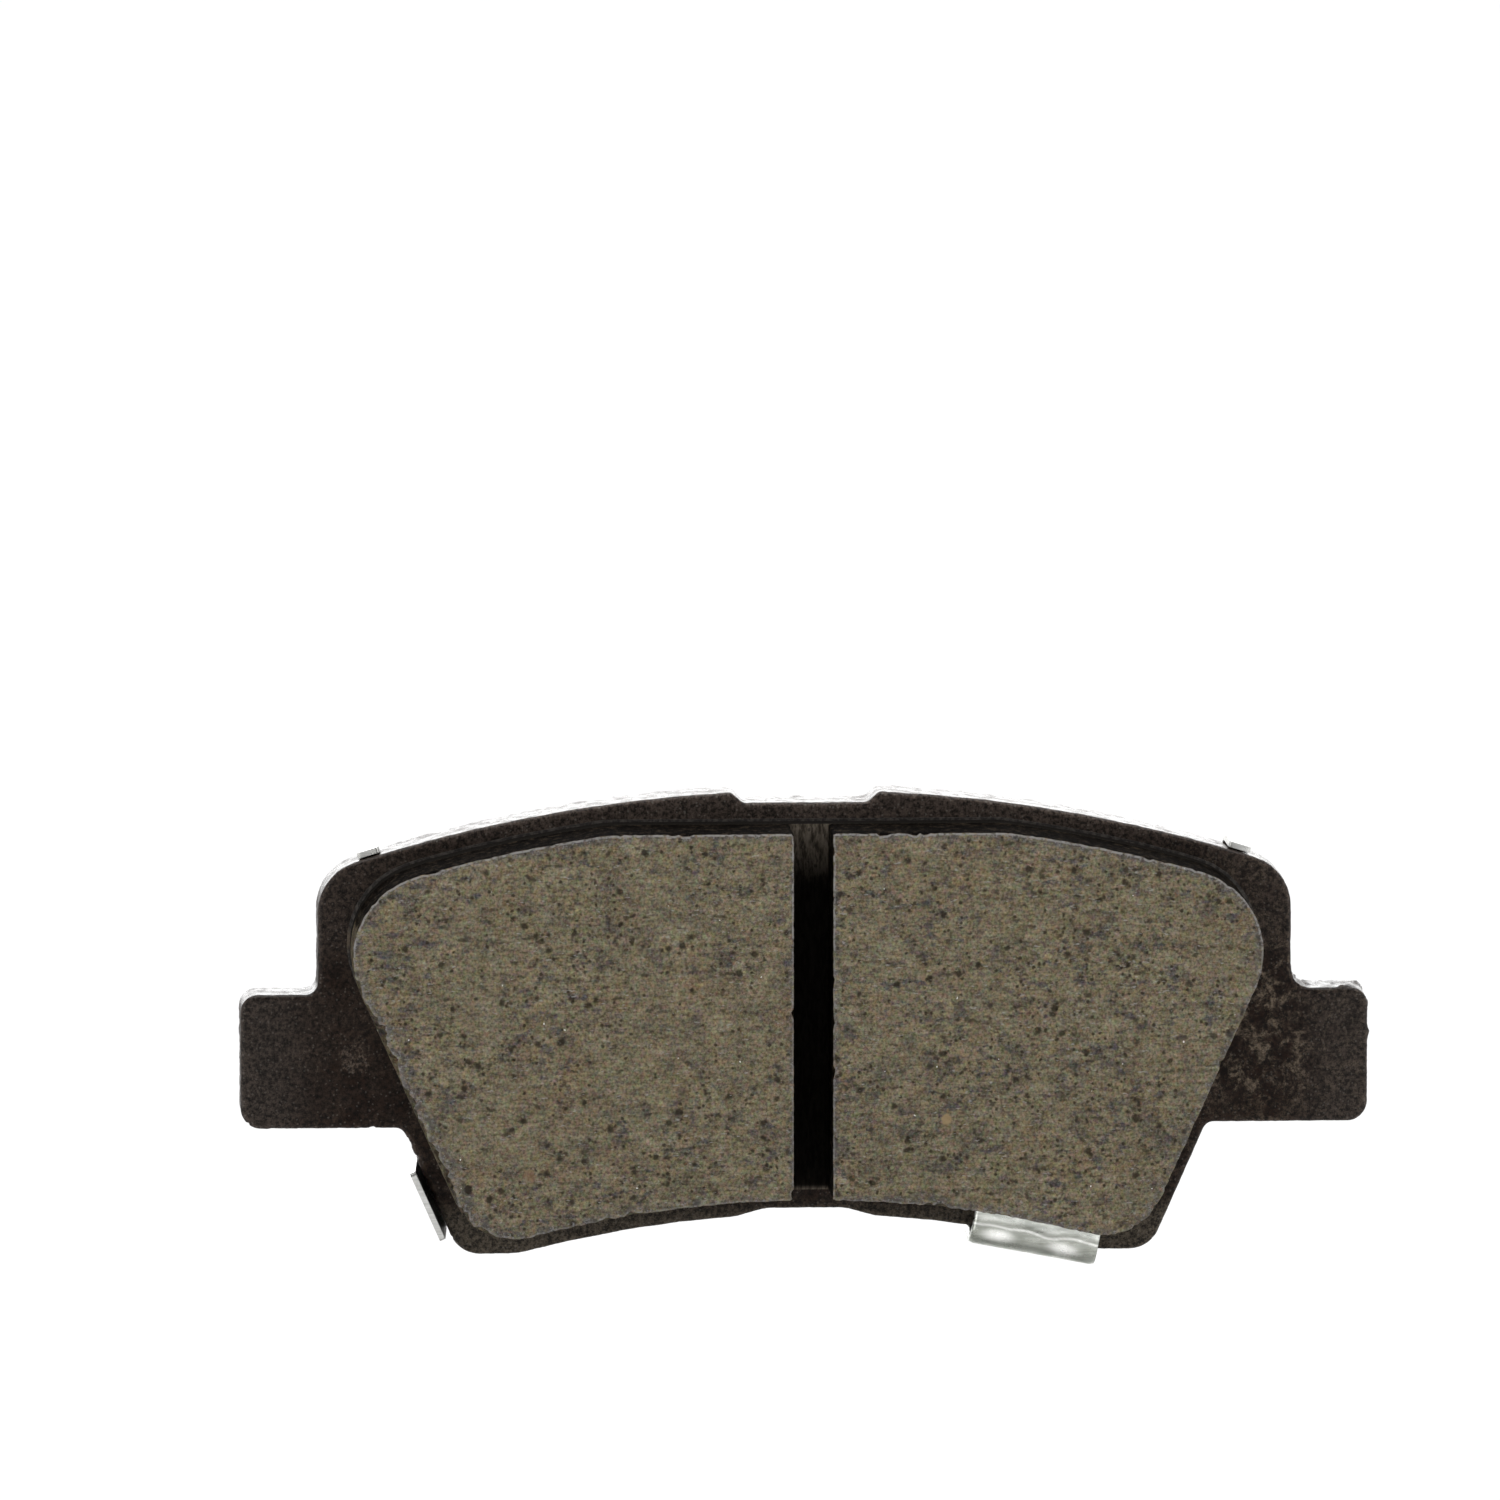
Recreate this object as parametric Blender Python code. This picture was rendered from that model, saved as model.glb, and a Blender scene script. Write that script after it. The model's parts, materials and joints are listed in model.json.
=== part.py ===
"""Rear disc brake pad: steel backing plate with two ears, slotted moulded lining, shims and wear indicator.

Units are metres, +Z is up.  The origin is on the outer shim, where the piston pushes, level with the
middle of the ears.  +X runs along the pad and -Y points at the brake disc.
"""

import math

import bmesh
import bpy
from mathutils import Vector

# ---- layers through the thickness, from the piston side towards the disc ----
LAYER_GAP = 0.00004
OUTER_SHIM_T = 0.0005
RUBBER_T = 0.00014
CORE_T = 0.0004
PLATE_T = 0.0053
BOND_T = 0.00015
UNDERLAYER_T = 0.002
BLOCK_T = 0.007

# ---- backing plate outline ----
PLATE_CROWN_Z = 0.0239
PLATE_TOP_R = 0.131
PLATE_HALF_W = 0.0431
EAR_TIP_X = 0.04995
EAR_HALF_H = 0.00597
EAR_TOP_R = 0.0015
EAR_BOTTOM_R = 0.0018
EAR_ROOT_R = {1: 0.0018, -1: 0.0011}
EAR_UNDER_R = 0.001
SHOULDER_R = 0.0046
FLANK_ANGLE = math.radians(23.8)
FLANK_X_AT_EAR = 0.03565
LOBE_Z = -0.0173
LOBE_R = 0.0028
LOBE_INNER_X = 0.0256
LOBE_INNER_R = 0.006
PLATE_FOOT_Z = -0.01395
FOOT_R = 0.098
PLATE_EDGE_BEVEL = 0.0003

# ---- shallow notches at the middle of the plate's top and bottom ----
TOP_NOTCH_Z = 0.0228
TOP_NOTCH_HALF_W = 0.0055
NOTCH_FLANK_W = 0.00105
NOTCH_R = 0.0008
FOOT_NOTCH_Z = -0.0134
FOOT_NOTCH_HALF_W = 0.0034
FOOT_NOTCH_FLANK_W = 0.0028
FOOT_NOTCH_R = 0.003

# ---- moulded lining outline ----
LINING_SHIFT_X = -0.0002
LINING_CROWN_Z = 0.0224
LINING_TOP_R = 0.128
LINING_FLAT_Z = 0.0212
LINING_FLANK_ANGLE = math.radians(24.1)
LINING_FLANK_X_AT_ZERO = 0.03618
LINING_SHOULDER_R = 0.0075
LINING_KNEE_R = 0.008
LINING_LOBE_R = 0.0055
LINING_FOOT_Z = -0.01135
SLOT_W = 0.00342
SLOT_X = 0.0002
BLOCK_EDGE_BEVEL = 0.00015
BOND_SPREAD = 0.00022

# ---- lining anchors, shim pips and their holes ----
ANCHOR_X, ANCHOR_Z, ANCHOR_R = 0.014, 0.0035, 0.0035
PIP_X, PIP_Z, PIP_R, PIP_H = 0.0285, 0.0085, 0.0025, 0.00105
HOLE_CLEARANCE = 0.0002

# ---- shims ----
SHIM_INSET = 0.001
SHIM_HALF_W = 0.0416
SHIM_SHOULDER_R = 0.003
SHIM_WAIST_R = 0.008
SHIM_LOBE_R = 0.0022
SHIM_FLANK_EXTRA = 0.0002
CORE_INSET = 0.0014
RELIEF_CLEARANCE = 0.0008
TAB_FOLD_R = 0.0005
TAB_GAP = 0.00015
TAB_TIP_R = 0.0003
TOP_TAB_X, TOP_TAB_W, TOP_TAB_SETBACK = 0.0382, 0.002, 0.0008
SIDE_TAB_Z, SIDE_TAB_W, SIDE_TAB_REACH = -0.01254, 0.0066, 0.001
SIDE_TAB_FOLD = math.radians(86.5)

# ---- wear indicator ----
STRIP_T = 0.0008
STRIP_HALF_W = 0.00565
STRIP_GAP = 0.0005
STRIP_SIT = 0.00005
STRIP_TILT = math.radians(10.8)
STRIP_X = 0.0202
STRIP_SAG = 0.00016
STRIP_CORNER_R = 0.0006
LEG_HALF_W = 0.0045
LEG_TOP = 0.0125
LEG_SHOULDER = 0.0032
HEEL_R, TOE_R = 0.0006, 0.0008
FOOT_PROUD = 0.0023
FOOT_TOP = 0.00215
RIVET_Z = 0.008
RIVET_R, RIVET_HEAD_R, RIVET_HEAD_H, RIVET_DEPTH = 0.0015, 0.003, 0.001, 0.0032

# ---- how finely curves are divided ----
FILLET_STEP = math.radians(11)
ARC_STEP = 0.0045
FOLD_STEPS = 6
ROUND_SEGMENTS = 32
CUT_THROUGH = 0.002


def stack_layers():
    """Y of each layer's disc side and piston side, worked out from the piston side."""
    layers = {}
    y = 0.0
    for name, thickness in (
        ("outer_shim", OUTER_SHIM_T),
        ("rubber_back", RUBBER_T),
        ("core", CORE_T),
        ("rubber_front", RUBBER_T),
        ("plate", PLATE_T),
        ("bond", BOND_T),
        ("underlayer", UNDERLAYER_T),
        ("block", BLOCK_T),
    ):
        layers[name] = (y - thickness, y)
        y -= thickness + LAYER_GAP
    return layers


LAYERS = stack_layers()


# ---- scene and materials ----


def clear_scene():
    for obj in list(bpy.data.objects):
        bpy.data.objects.remove(obj, do_unlink=True)


def add_empty(name, parent=None):
    empty = bpy.data.objects.new(name, None)
    empty.parent = parent
    bpy.context.scene.collection.objects.link(empty)
    return empty


def make_material(name, colour, roughness, metallic=0.0):
    material = bpy.data.materials.new(name)
    material.use_nodes = True
    shader = material.node_tree.nodes["Principled BSDF"]
    shader.inputs["Base Color"].default_value = (*colour, 1.0)
    shader.inputs["Roughness"].default_value = roughness
    shader.inputs["Metallic"].default_value = metallic
    material.diffuse_color = (*colour, 1.0)
    return material


# ---- outlines: corners are (x, z, rounding radius), going clockwise from the top centre ----


def arc_z(crown_z, radius, x):
    """Height at x of a wide arc that crowns at x = 0."""
    return crown_z - radius + math.sqrt(radius**2 - x**2)


def wide_arc(crown_z, radius, x_from, x_to):
    steps = max(1, round(abs(x_to - x_from) / ARC_STEP))
    xs = [x_from + (x_to - x_from) * i / steps for i in range(steps + 1)]
    return [(x, arc_z(crown_z, radius, x), 0.0) for x in xs]


def with_radius(corner, radius):
    return (corner[0], corner[1], radius)


def mirrored(corners):
    return [(-x, z, r) for x, z, r in reversed(corners)]


def shifted(corners, dx):
    return [(x + dx, z, r) for x, z, r in corners]


def rounded(corners):
    """The closed outline through these corners, as (x, z) points, each corner rounded."""
    points = []
    for i, (x, z, radius) in enumerate(corners):
        here = Vector((x, z))
        to_last = (Vector(corners[i - 1][:2]) - here).normalized()
        to_next = (Vector(corners[(i + 1) % len(corners)][:2]) - here).normalized()
        turn = math.pi - to_last.angle(to_next)
        if radius == 0.0 or turn < 1e-4:
            points.append((x, z))
            continue
        start = here + to_last * radius * math.tan(turn / 2)
        centre = here + (to_last + to_next).normalized() * radius / math.cos(turn / 2)
        spoke = start - centre
        side = 1.0 if to_last.cross(to_next) < 0 else -1.0
        steps = max(2, math.ceil(turn / FILLET_STEP))
        for k in range(steps + 1):
            c, s = math.cos(side * turn * k / steps), math.sin(side * turn * k / steps)
            points.append((centre.x + spoke.x * c - spoke.y * s, centre.y + spoke.x * s + spoke.y * c))
    return points


def meet_flank(crown_z, radius, x_at):
    """Where a wide arc meets a flank that stands x_at(z) from the middle."""
    z = crown_z
    for _ in range(30):
        z = arc_z(crown_z, radius, x_at(z))
    return x_at(z), z


def flank_x(z):
    return FLANK_X_AT_EAR + (z + EAR_HALF_H) * math.tan(FLANK_ANGLE)


def lining_flank_x(z):
    return LINING_FLANK_X_AT_ZERO + z * math.tan(LINING_FLANK_ANGLE)


def plate_half(side):
    """Right half of the plate, or the left half before it is mirrored."""
    crown = wide_arc(PLATE_CROWN_Z, PLATE_TOP_R, TOP_NOTCH_HALF_W + NOTCH_FLANK_W, PLATE_HALF_W)
    foot_end_x = FOOT_NOTCH_HALF_W + FOOT_NOTCH_FLANK_W
    foot = wide_arc(PLATE_FOOT_Z, FOOT_R, LOBE_INNER_X - ARC_STEP, foot_end_x)
    return [
        (TOP_NOTCH_HALF_W, TOP_NOTCH_Z, NOTCH_R),
        with_radius(crown[0], NOTCH_R),
        *crown[1:-1],
        with_radius(crown[-1], SHOULDER_R),
        (PLATE_HALF_W, EAR_HALF_H, EAR_ROOT_R[side]),
        (EAR_TIP_X, EAR_HALF_H, EAR_TOP_R),
        (EAR_TIP_X, -EAR_HALF_H, EAR_BOTTOM_R),
        (FLANK_X_AT_EAR, -EAR_HALF_H, EAR_UNDER_R),
        (flank_x(LOBE_Z), LOBE_Z, LOBE_R),
        (LOBE_INNER_X, LOBE_Z, LOBE_INNER_R),
        *foot[:-1],
        with_radius(foot[-1], FOOT_NOTCH_R),
        (FOOT_NOTCH_HALF_W, FOOT_NOTCH_Z, FOOT_NOTCH_R),
    ]


def lining_half():
    """Right half of the lining, between its flat top and the middle of its bottom."""
    flat_end_x = math.sqrt(LINING_TOP_R**2 - (LINING_TOP_R - LINING_CROWN_Z + LINING_FLAT_Z) ** 2)
    top_x, top_z = meet_flank(LINING_CROWN_Z, LINING_TOP_R, lining_flank_x)
    low_x, low_z = meet_flank(LINING_FOOT_Z, FOOT_R, lining_flank_x)
    crown = wide_arc(LINING_CROWN_Z, LINING_TOP_R, flat_end_x, top_x - 1.25 * LINING_SHOULDER_R)
    foot = wide_arc(LINING_FOOT_Z, FOOT_R, low_x - LINING_LOBE_R, ARC_STEP / 2)
    return [
        with_radius(crown[0], LINING_KNEE_R),
        *crown[1:],
        (top_x, top_z, LINING_SHOULDER_R),
        (low_x, low_z, LINING_LOBE_R),
        *foot,
    ]


def whole_lining(spread=0.0):
    """The lining's full outline, grown outwards by about the spread."""
    corners = lining_half()
    middle_z = (LINING_FLAT_Z + LINING_FOOT_Z) / 2
    wide = 1 + spread / max(x for x, _, _ in corners)
    tall = 1 + spread / (LINING_FLAT_Z - middle_z)
    grown = [(x * wide, middle_z + (z - middle_z) * tall, r) for x, z, r in corners]
    return rounded(shifted(grown + mirrored(grown), LINING_SHIFT_X))


def block_outline(side):
    """One friction block, between the slot's wall and the lining's end."""
    wall_x = SLOT_W / 2 + side * SLOT_X
    half = shifted(lining_half(), side * LINING_SHIFT_X)
    corners = [(wall_x, LINING_FLAT_Z, 0.0), *half, (wall_x, arc_z(LINING_FOOT_Z, FOOT_R, wall_x), 0.0)]
    return rounded(corners if side > 0 else mirrored(corners))


def tab_corners(root, outward, width, length):
    """Four corners of a flat tab that leaves the outline at root."""
    along = Vector((outward.z, 0.0, -outward.x)) * width / 2
    tip = root + outward * length
    places = ((root - along, 0.0), (tip - along, TAB_TIP_R), (tip + along, TAB_TIP_R), (root + along, 0.0))
    return [(p.x, p.z, r) for p, r in places]


def shim_half(inset, top_tab=(), side_tab=()):
    """Right half of a shim, drawn in from the plate's edge, with the corners of any tabs."""
    flank_inset = inset + SHIM_FLANK_EXTRA
    half_w = SHIM_HALF_W - (inset - SHIM_INSET)
    low_z = LOBE_Z + flank_inset
    draw_in = flank_inset / math.cos(FLANK_ANGLE)
    waist_z = (half_w + draw_in - FLANK_X_AT_EAR) / math.tan(FLANK_ANGLE) - EAR_HALF_H
    notch_end_x = TOP_NOTCH_HALF_W + NOTCH_FLANK_W + inset
    crown = wide_arc(PLATE_CROWN_Z - inset, PLATE_TOP_R - inset, notch_end_x, half_w)
    before_tab = [c for c in crown[1:-1] if not top_tab or c[0] < top_tab[0][0]]
    foot = wide_arc(PLATE_FOOT_Z + flank_inset, FOOT_R, LOBE_INNER_X - ARC_STEP, ARC_STEP / 2)
    return [
        (TOP_NOTCH_HALF_W + inset, TOP_NOTCH_Z - inset, NOTCH_R),
        with_radius(crown[0], NOTCH_R),
        *before_tab,
        *top_tab,
        with_radius(crown[-1], SHIM_SHOULDER_R),
        (half_w, waist_z, SHIM_WAIST_R),
        *side_tab,
        (flank_x(low_z) - draw_in, low_z, SHIM_LOBE_R),
        (LOBE_INNER_X, low_z, LOBE_INNER_R),
        *foot,
    ]


# ---- meshes ----


def extrude_outline(outline, y_disc, y_piston):
    """A slab with this outline between two depths."""
    bm = bmesh.new()
    face = bm.faces.new([bm.verts.new((x, y_piston, z)) for x, z in outline])
    grown = bmesh.ops.extrude_face_region(bm, geom=[face])
    moved = [v for v in grown["geom"] if isinstance(v, bmesh.types.BMVert)]
    bmesh.ops.translate(bm, verts=moved, vec=(0.0, y_disc - y_piston, 0.0))
    bmesh.ops.recalc_face_normals(bm, faces=bm.faces)
    return bm


def fold_sheet(bm, start, outward, y_inner, inner_r, angle, thickness):
    """Folds what lies beyond the line through start, square to outward, towards the disc.

    y_inner is the depth of the sheet's face on the inside of the bend.
    """
    along = Vector((outward.z, 0.0, -outward.x))
    neutral_r = inner_r + thickness / 2
    bend_length = neutral_r * angle
    for step in range(FOLD_STEPS + 1):
        bmesh.ops.bisect_plane(
            bm,
            geom=bm.verts[:] + bm.edges[:] + bm.faces[:],
            dist=1e-7,
            plane_co=start + outward * (bend_length * step / FOLD_STEPS),
            plane_no=outward,
        )
    y_axis = y_inner - inner_r
    for vert in bm.verts:
        beyond = (vert.co - start).dot(outward)
        if beyond <= 1e-7:
            continue
        turned = min(beyond, bend_length) / neutral_r
        straight = max(beyond - bend_length, 0.0)
        radius = vert.co.y - y_axis
        reach = radius * math.sin(turned) + straight * math.cos(turned)
        place = start + along * (vert.co - start).dot(along) + outward * reach
        y = y_axis + radius * math.cos(turned) - straight * math.sin(turned)
        vert.co = (place.x, y, place.z)


def to_object(name, bm, material, parent):
    mesh = bpy.data.meshes.new(name)
    bm.to_mesh(mesh)
    bm.free()
    mesh.shade_smooth()
    mesh.set_sharp_from_angle(angle=math.radians(30))
    mesh.materials.append(material)
    obj = bpy.data.objects.new(name, mesh)
    obj.parent = parent
    bpy.context.scene.collection.objects.link(obj)
    return obj


def as_cutter(obj):
    obj.hide_render = True
    obj.display_type = "WIRE"
    return obj


def round_cutter(name, radius, x, z, y_disc, y_piston, parent):
    bm = bmesh.new()
    bmesh.ops.create_cone(
        bm, cap_ends=True, segments=ROUND_SEGMENTS, radius1=radius, radius2=radius, depth=y_piston - y_disc
    )
    cutter = to_object(name, bm, bpy.data.materials["cutter"], parent)
    cutter.rotation_euler = (math.pi / 2, 0.0, 0.0)
    cutter.location = (x, (y_disc + y_piston) / 2, z)
    return as_cutter(cutter)


def combine(obj, other, operation="DIFFERENCE"):
    boolean = obj.modifiers.new(f"{operation.lower()}_{other.name}", "BOOLEAN")
    boolean.operation = operation
    boolean.solver = "EXACT"
    boolean.object = other


def combine_pair(obj, what, radius, x, z, y_disc, y_piston, operation="DIFFERENCE"):
    """Cuts or joins one round shape on each side of the middle."""
    for side, word in ((-1, "left"), (1, "right")):
        name = f"{obj.name}_{what}_{word}"
        combine(obj, round_cutter(name, radius, side * x, z, y_disc, y_piston, obj.parent), operation)


def soften_edges(obj, width, segments):
    bevel = obj.modifiers.new("soft_edges", "BEVEL")
    bevel.width = width
    bevel.segments = segments
    bevel.limit_method = "ANGLE"
    bevel.angle_limit = math.radians(50)


# ---- pieces ----


def make_plate(material, pad, indicator_frame):
    """Stamped steel plate with two ears, two lining anchors, two shim pips and a blind rivet hole."""
    y_disc, y_piston = LAYERS["plate"]
    outline = rounded(plate_half(1) + mirrored(plate_half(-1)))
    plate = to_object("backing_plate", extrude_outline(outline, y_disc, y_piston), material, pad)
    soften_edges(plate, PLATE_EDGE_BEVEL, 2)
    cut_from, cut_to = y_disc - CUT_THROUGH, y_piston + CUT_THROUGH
    combine_pair(plate, "anchor_hole", ANCHOR_R, ANCHOR_X, ANCHOR_Z, cut_from, cut_to)
    combine_pair(plate, "pip", PIP_R, PIP_X, PIP_Z, y_piston - PIP_H, y_piston + PIP_H, "UNION")
    hole_r = RIVET_R + HOLE_CLEARANCE / 2
    hole_end = y_piston - RIVET_DEPTH
    combine(plate, round_cutter("rivet_hole", hole_r, 0.0, RIVET_Z, hole_end, cut_to, indicator_frame))


def make_lining(materials, pad):
    """Bond film, underlayer with its anchor plugs, and a friction block each side of the slot."""
    y_disc, y_piston = LAYERS["bond"]
    film = extrude_outline(whole_lining(BOND_SPREAD), y_disc, y_piston)
    bond = to_object("bond_film", film, materials["bond"], pad)
    cut_from, cut_to = y_disc - CUT_THROUGH, y_piston + CUT_THROUGH
    combine_pair(bond, "anchor_hole", ANCHOR_R, ANCHOR_X, ANCHOR_Z, cut_from, cut_to)

    y_disc, y_piston = LAYERS["underlayer"]
    slab = extrude_outline(whole_lining(), y_disc, y_piston)
    underlayer = to_object("underlayer", slab, materials["underlayer"], pad)
    plug_end = LAYERS["plate"][1] - HOLE_CLEARANCE
    plug_root = (y_disc + y_piston) / 2
    plug_r = ANCHOR_R - HOLE_CLEARANCE
    combine_pair(underlayer, "plug", plug_r, ANCHOR_X, ANCHOR_Z, plug_root, plug_end, "UNION")

    for side, word in ((-1, "left"), (1, "right")):
        mould = extrude_outline(block_outline(side), *LAYERS["block"])
        block = to_object(f"friction_block_{word}", mould, materials["friction"], pad)
        soften_edges(block, BLOCK_EDGE_BEVEL, 1)


def finish_shim(shim, relief):
    """Cuts a shim's two pip holes and its relief round the wear indicator's leg."""
    combine_pair(shim, "pip_hole", PIP_R + HOLE_CLEARANCE, PIP_X, PIP_Z, -PLATE_T, CUT_THROUGH)
    combine(shim, relief)


def make_relief(indicator_frame):
    """A cutter that keeps the shims clear of the wear indicator's leg."""
    half_w = STRIP_HALF_W + RELIEF_CLEARANCE
    half = [(half_w, LEG_TOP + RELIEF_CLEARANCE, LEG_HALF_W), (half_w, -LEG_TOP, 0.0)]
    slab = extrude_outline(rounded(half + mirrored(half)), -PLATE_T, CUT_THROUGH)
    return as_cutter(to_object("shim_relief", slab, bpy.data.materials["cutter"], indicator_frame))


def make_damping_shim(materials, pad, relief):
    """Steel sheet between two rubber coats."""
    half = shim_half(CORE_INSET)
    outline = rounded(half + mirrored(half))
    for layer, name, kind in (
        ("rubber_front", "damping_shim_front_rubber", "rubber"),
        ("core", "damping_shim_steel_core", "core"),
        ("rubber_back", "damping_shim_back_rubber", "rubber"),
    ):
        slab = extrude_outline(outline, *LAYERS[layer])
        finish_shim(to_object(name, slab, materials[kind], pad), relief)


def make_outer_shim(material, pad, relief):
    """Stainless shim with two narrow tabs over the plate's shoulders and one along its left flank."""
    y_inner = LAYERS["outer_shim"][0]
    y_plate = LAYERS["plate"][0]
    fold_back = TAB_FOLD_R - TAB_GAP
    neutral_r = TAB_FOLD_R + OUTER_SHIM_T / 2
    y_straight = y_inner - TAB_FOLD_R

    lean = math.asin(TOP_TAB_X / PLATE_TOP_R)
    top_out = Vector((math.sin(lean), 0.0, math.cos(lean)))
    top_root_z = arc_z(PLATE_CROWN_Z - SHIM_INSET, PLATE_TOP_R - SHIM_INSET, TOP_TAB_X)
    top_root = Vector((TOP_TAB_X, 0.0, top_root_z))
    top_start = SHIM_INSET - fold_back
    top_length = top_start + neutral_r * math.pi / 2 + y_straight - y_plate - TOP_TAB_SETBACK

    side_out = Vector((math.cos(FLANK_ANGLE), 0.0, -math.sin(FLANK_ANGLE)))
    flank_inset = SHIM_INSET + SHIM_FLANK_EXTRA
    side_root = Vector((flank_x(SIDE_TAB_Z), 0.0, SIDE_TAB_Z)) - side_out * flank_inset
    side_start = flank_inset - fold_back
    side_straight = (y_straight - y_plate + SIDE_TAB_REACH) / math.sin(SIDE_TAB_FOLD)
    side_length = side_start + neutral_r * SIDE_TAB_FOLD + side_straight

    top_tab = tab_corners(top_root, top_out, TOP_TAB_W, top_length)
    side_tab = tab_corners(side_root, side_out, SIDE_TAB_W, side_length)
    right = shim_half(SHIM_INSET, top_tab)
    left = mirrored(shim_half(SHIM_INSET, top_tab, side_tab))
    sheet = extrude_outline(rounded(right + left), *LAYERS["outer_shim"])
    for side in (-1, 1):
        outward = Vector((side * top_out.x, 0.0, top_out.z))
        start = Vector((side * top_root.x, 0.0, top_root.z)) + outward * top_start
        fold_sheet(sheet, start, outward, y_inner, TAB_FOLD_R, math.pi / 2, OUTER_SHIM_T)
    outward = Vector((-side_out.x, 0.0, side_out.z))
    start = Vector((-side_root.x, 0.0, side_root.z)) + outward * side_start
    fold_sheet(sheet, start, outward, y_inner, TAB_FOLD_R, SIDE_TAB_FOLD, OUTER_SHIM_T)
    finish_shim(to_object("outer_shim", sheet, material, pad), relief)


def make_wear_indicator(material, indicator_frame):
    """Spring strip: a leg on the plate's back, a run under its edge and a foot facing the disc.

    It is cut flat and folded twice.  In its own frame the plate's edge is at z = 0 and the leg goes up.
    """
    y_disc = LAYERS["plate"][1] + STRIP_SIT
    down = Vector((0.0, 0.0, -1.0))
    heel_start = STRIP_GAP - HEEL_R
    heel = (HEEL_R + STRIP_T / 2) * math.pi / 2
    toe = (TOE_R + STRIP_T / 2) * math.pi / 2
    foot_inner_y = LAYERS["plate"][0] - FOOT_PROUD + STRIP_T
    run = (y_disc - HEEL_R) - (foot_inner_y + TOE_R)
    toe_start = heel_start + heel + run
    foot_end = toe_start + toe + FOOT_TOP - (TOE_R - STRIP_GAP)
    half = [
        (LEG_HALF_W, LEG_TOP, 0.99 * LEG_HALF_W),
        (LEG_HALF_W, LEG_SHOULDER + STRIP_HALF_W - LEG_HALF_W, STRIP_CORNER_R),
        (STRIP_HALF_W, LEG_SHOULDER, STRIP_CORNER_R),
        (STRIP_HALF_W, -foot_end, STRIP_CORNER_R),
    ]
    strip = extrude_outline(rounded(half + mirrored(half)), y_disc, y_disc + STRIP_T)
    fold_sheet(strip, down * toe_start, down, y_disc, TOE_R, math.pi / 2, STRIP_T)
    fold_sheet(strip, down * heel_start, down, y_disc, HEEL_R, math.pi / 2, STRIP_T)
    indicator = to_object("wear_indicator", strip, material, indicator_frame)
    hole_r = RIVET_R + HOLE_CLEARANCE / 2
    cut_from, cut_to = y_disc - HOLE_CLEARANCE, y_disc + CUT_THROUGH
    hole = round_cutter("indicator_hole", hole_r, 0.0, RIVET_Z, cut_from, cut_to, indicator_frame)
    combine(indicator, hole)


def make_rivet(material, indicator_frame):
    """Domed rivet turned about its own Z axis, which points away from the disc."""
    under_head = LAYERS["plate"][1] + STRIP_SIT + STRIP_T + STRIP_SIT
    shank = under_head - LAYERS["plate"][1] + RIVET_DEPTH - HOLE_CLEARANCE
    dome_steps = 6
    rim_h = RIVET_HEAD_H / 3
    profile = []
    for k in range(dome_steps + 1):
        swing = math.pi / 2 * k / dome_steps
        height = rim_h + (RIVET_HEAD_H - rim_h) * math.cos(swing)
        profile.append((RIVET_HEAD_R * math.sin(swing), height))
    profile += [(RIVET_HEAD_R, 0.0), (RIVET_R, 0.0), (RIVET_R, -shank), (0.0, -shank)]
    bm = bmesh.new()
    verts = [bm.verts.new((r, 0.0, h)) for r, h in profile]
    for a, b in zip(verts, verts[1:]):
        bm.edges.new((a, b))
    rivet = to_object("wear_indicator_rivet", bm, material, indicator_frame)
    screw = rivet.modifiers.new("turned", "SCREW")
    screw.steps = screw.render_steps = ROUND_SEGMENTS
    screw.use_merge_vertices = True
    screw.merge_threshold = 0.00001
    screw.use_smooth_shade = True
    rivet.rotation_euler = (-math.pi / 2, 0.0, 0.0)
    rivet.location = (0.0, under_head, RIVET_Z)


def main():
    clear_scene()
    materials = {
        "plate": make_material("black_painted_steel", (0.022, 0.019, 0.017), 0.5),
        "bond": make_material("phenolic_bond", (0.10, 0.075, 0.045), 0.6),
        "underlayer": make_material("moulded_underlayer", (0.055, 0.045, 0.035), 0.85),
        "friction": make_material("ceramic_friction", (0.155, 0.130, 0.088), 0.8),
        "rubber": make_material("shim_rubber", (0.02, 0.02, 0.021), 0.6),
        "core": make_material("shim_core_steel", (0.45, 0.45, 0.44), 0.4, 1.0),
        "outer": make_material("stainless_shim", (0.60, 0.60, 0.58), 0.3, 1.0),
        "spring": make_material("zinc_spring_steel", (0.70, 0.71, 0.69), 0.28, 1.0),
        "cutter": make_material("cutter", (1.0, 0.0, 0.0), 1.0),
    }
    pad = add_empty("brake_pad")
    indicator_frame = add_empty("indicator_frame", pad)
    indicator_frame.location = (STRIP_X, 0.0, arc_z(PLATE_FOOT_Z, FOOT_R, STRIP_X) - STRIP_SAG)
    indicator_frame.rotation_euler = (0.0, STRIP_TILT, 0.0)

    make_plate(materials["plate"], pad, indicator_frame)
    make_lining(materials, pad)
    relief = make_relief(indicator_frame)
    make_damping_shim(materials, pad, relief)
    make_outer_shim(materials["outer"], pad, relief)
    make_wear_indicator(materials["spring"], indicator_frame)
    make_rivet(materials["spring"], indicator_frame)


main()
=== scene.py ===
"""Looks of a rear disc brake pad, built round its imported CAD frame.

Units are metres, in the CAD's own frame: +X along the pad, -Y towards the brake disc, +Z up.
Material patterns are stated per millimetre, and each NOISE of a mesh is a frequency per metre.
"""

import json
import math

import bmesh
import bpy
from mathutils import Matrix, Vector, noise

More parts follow.
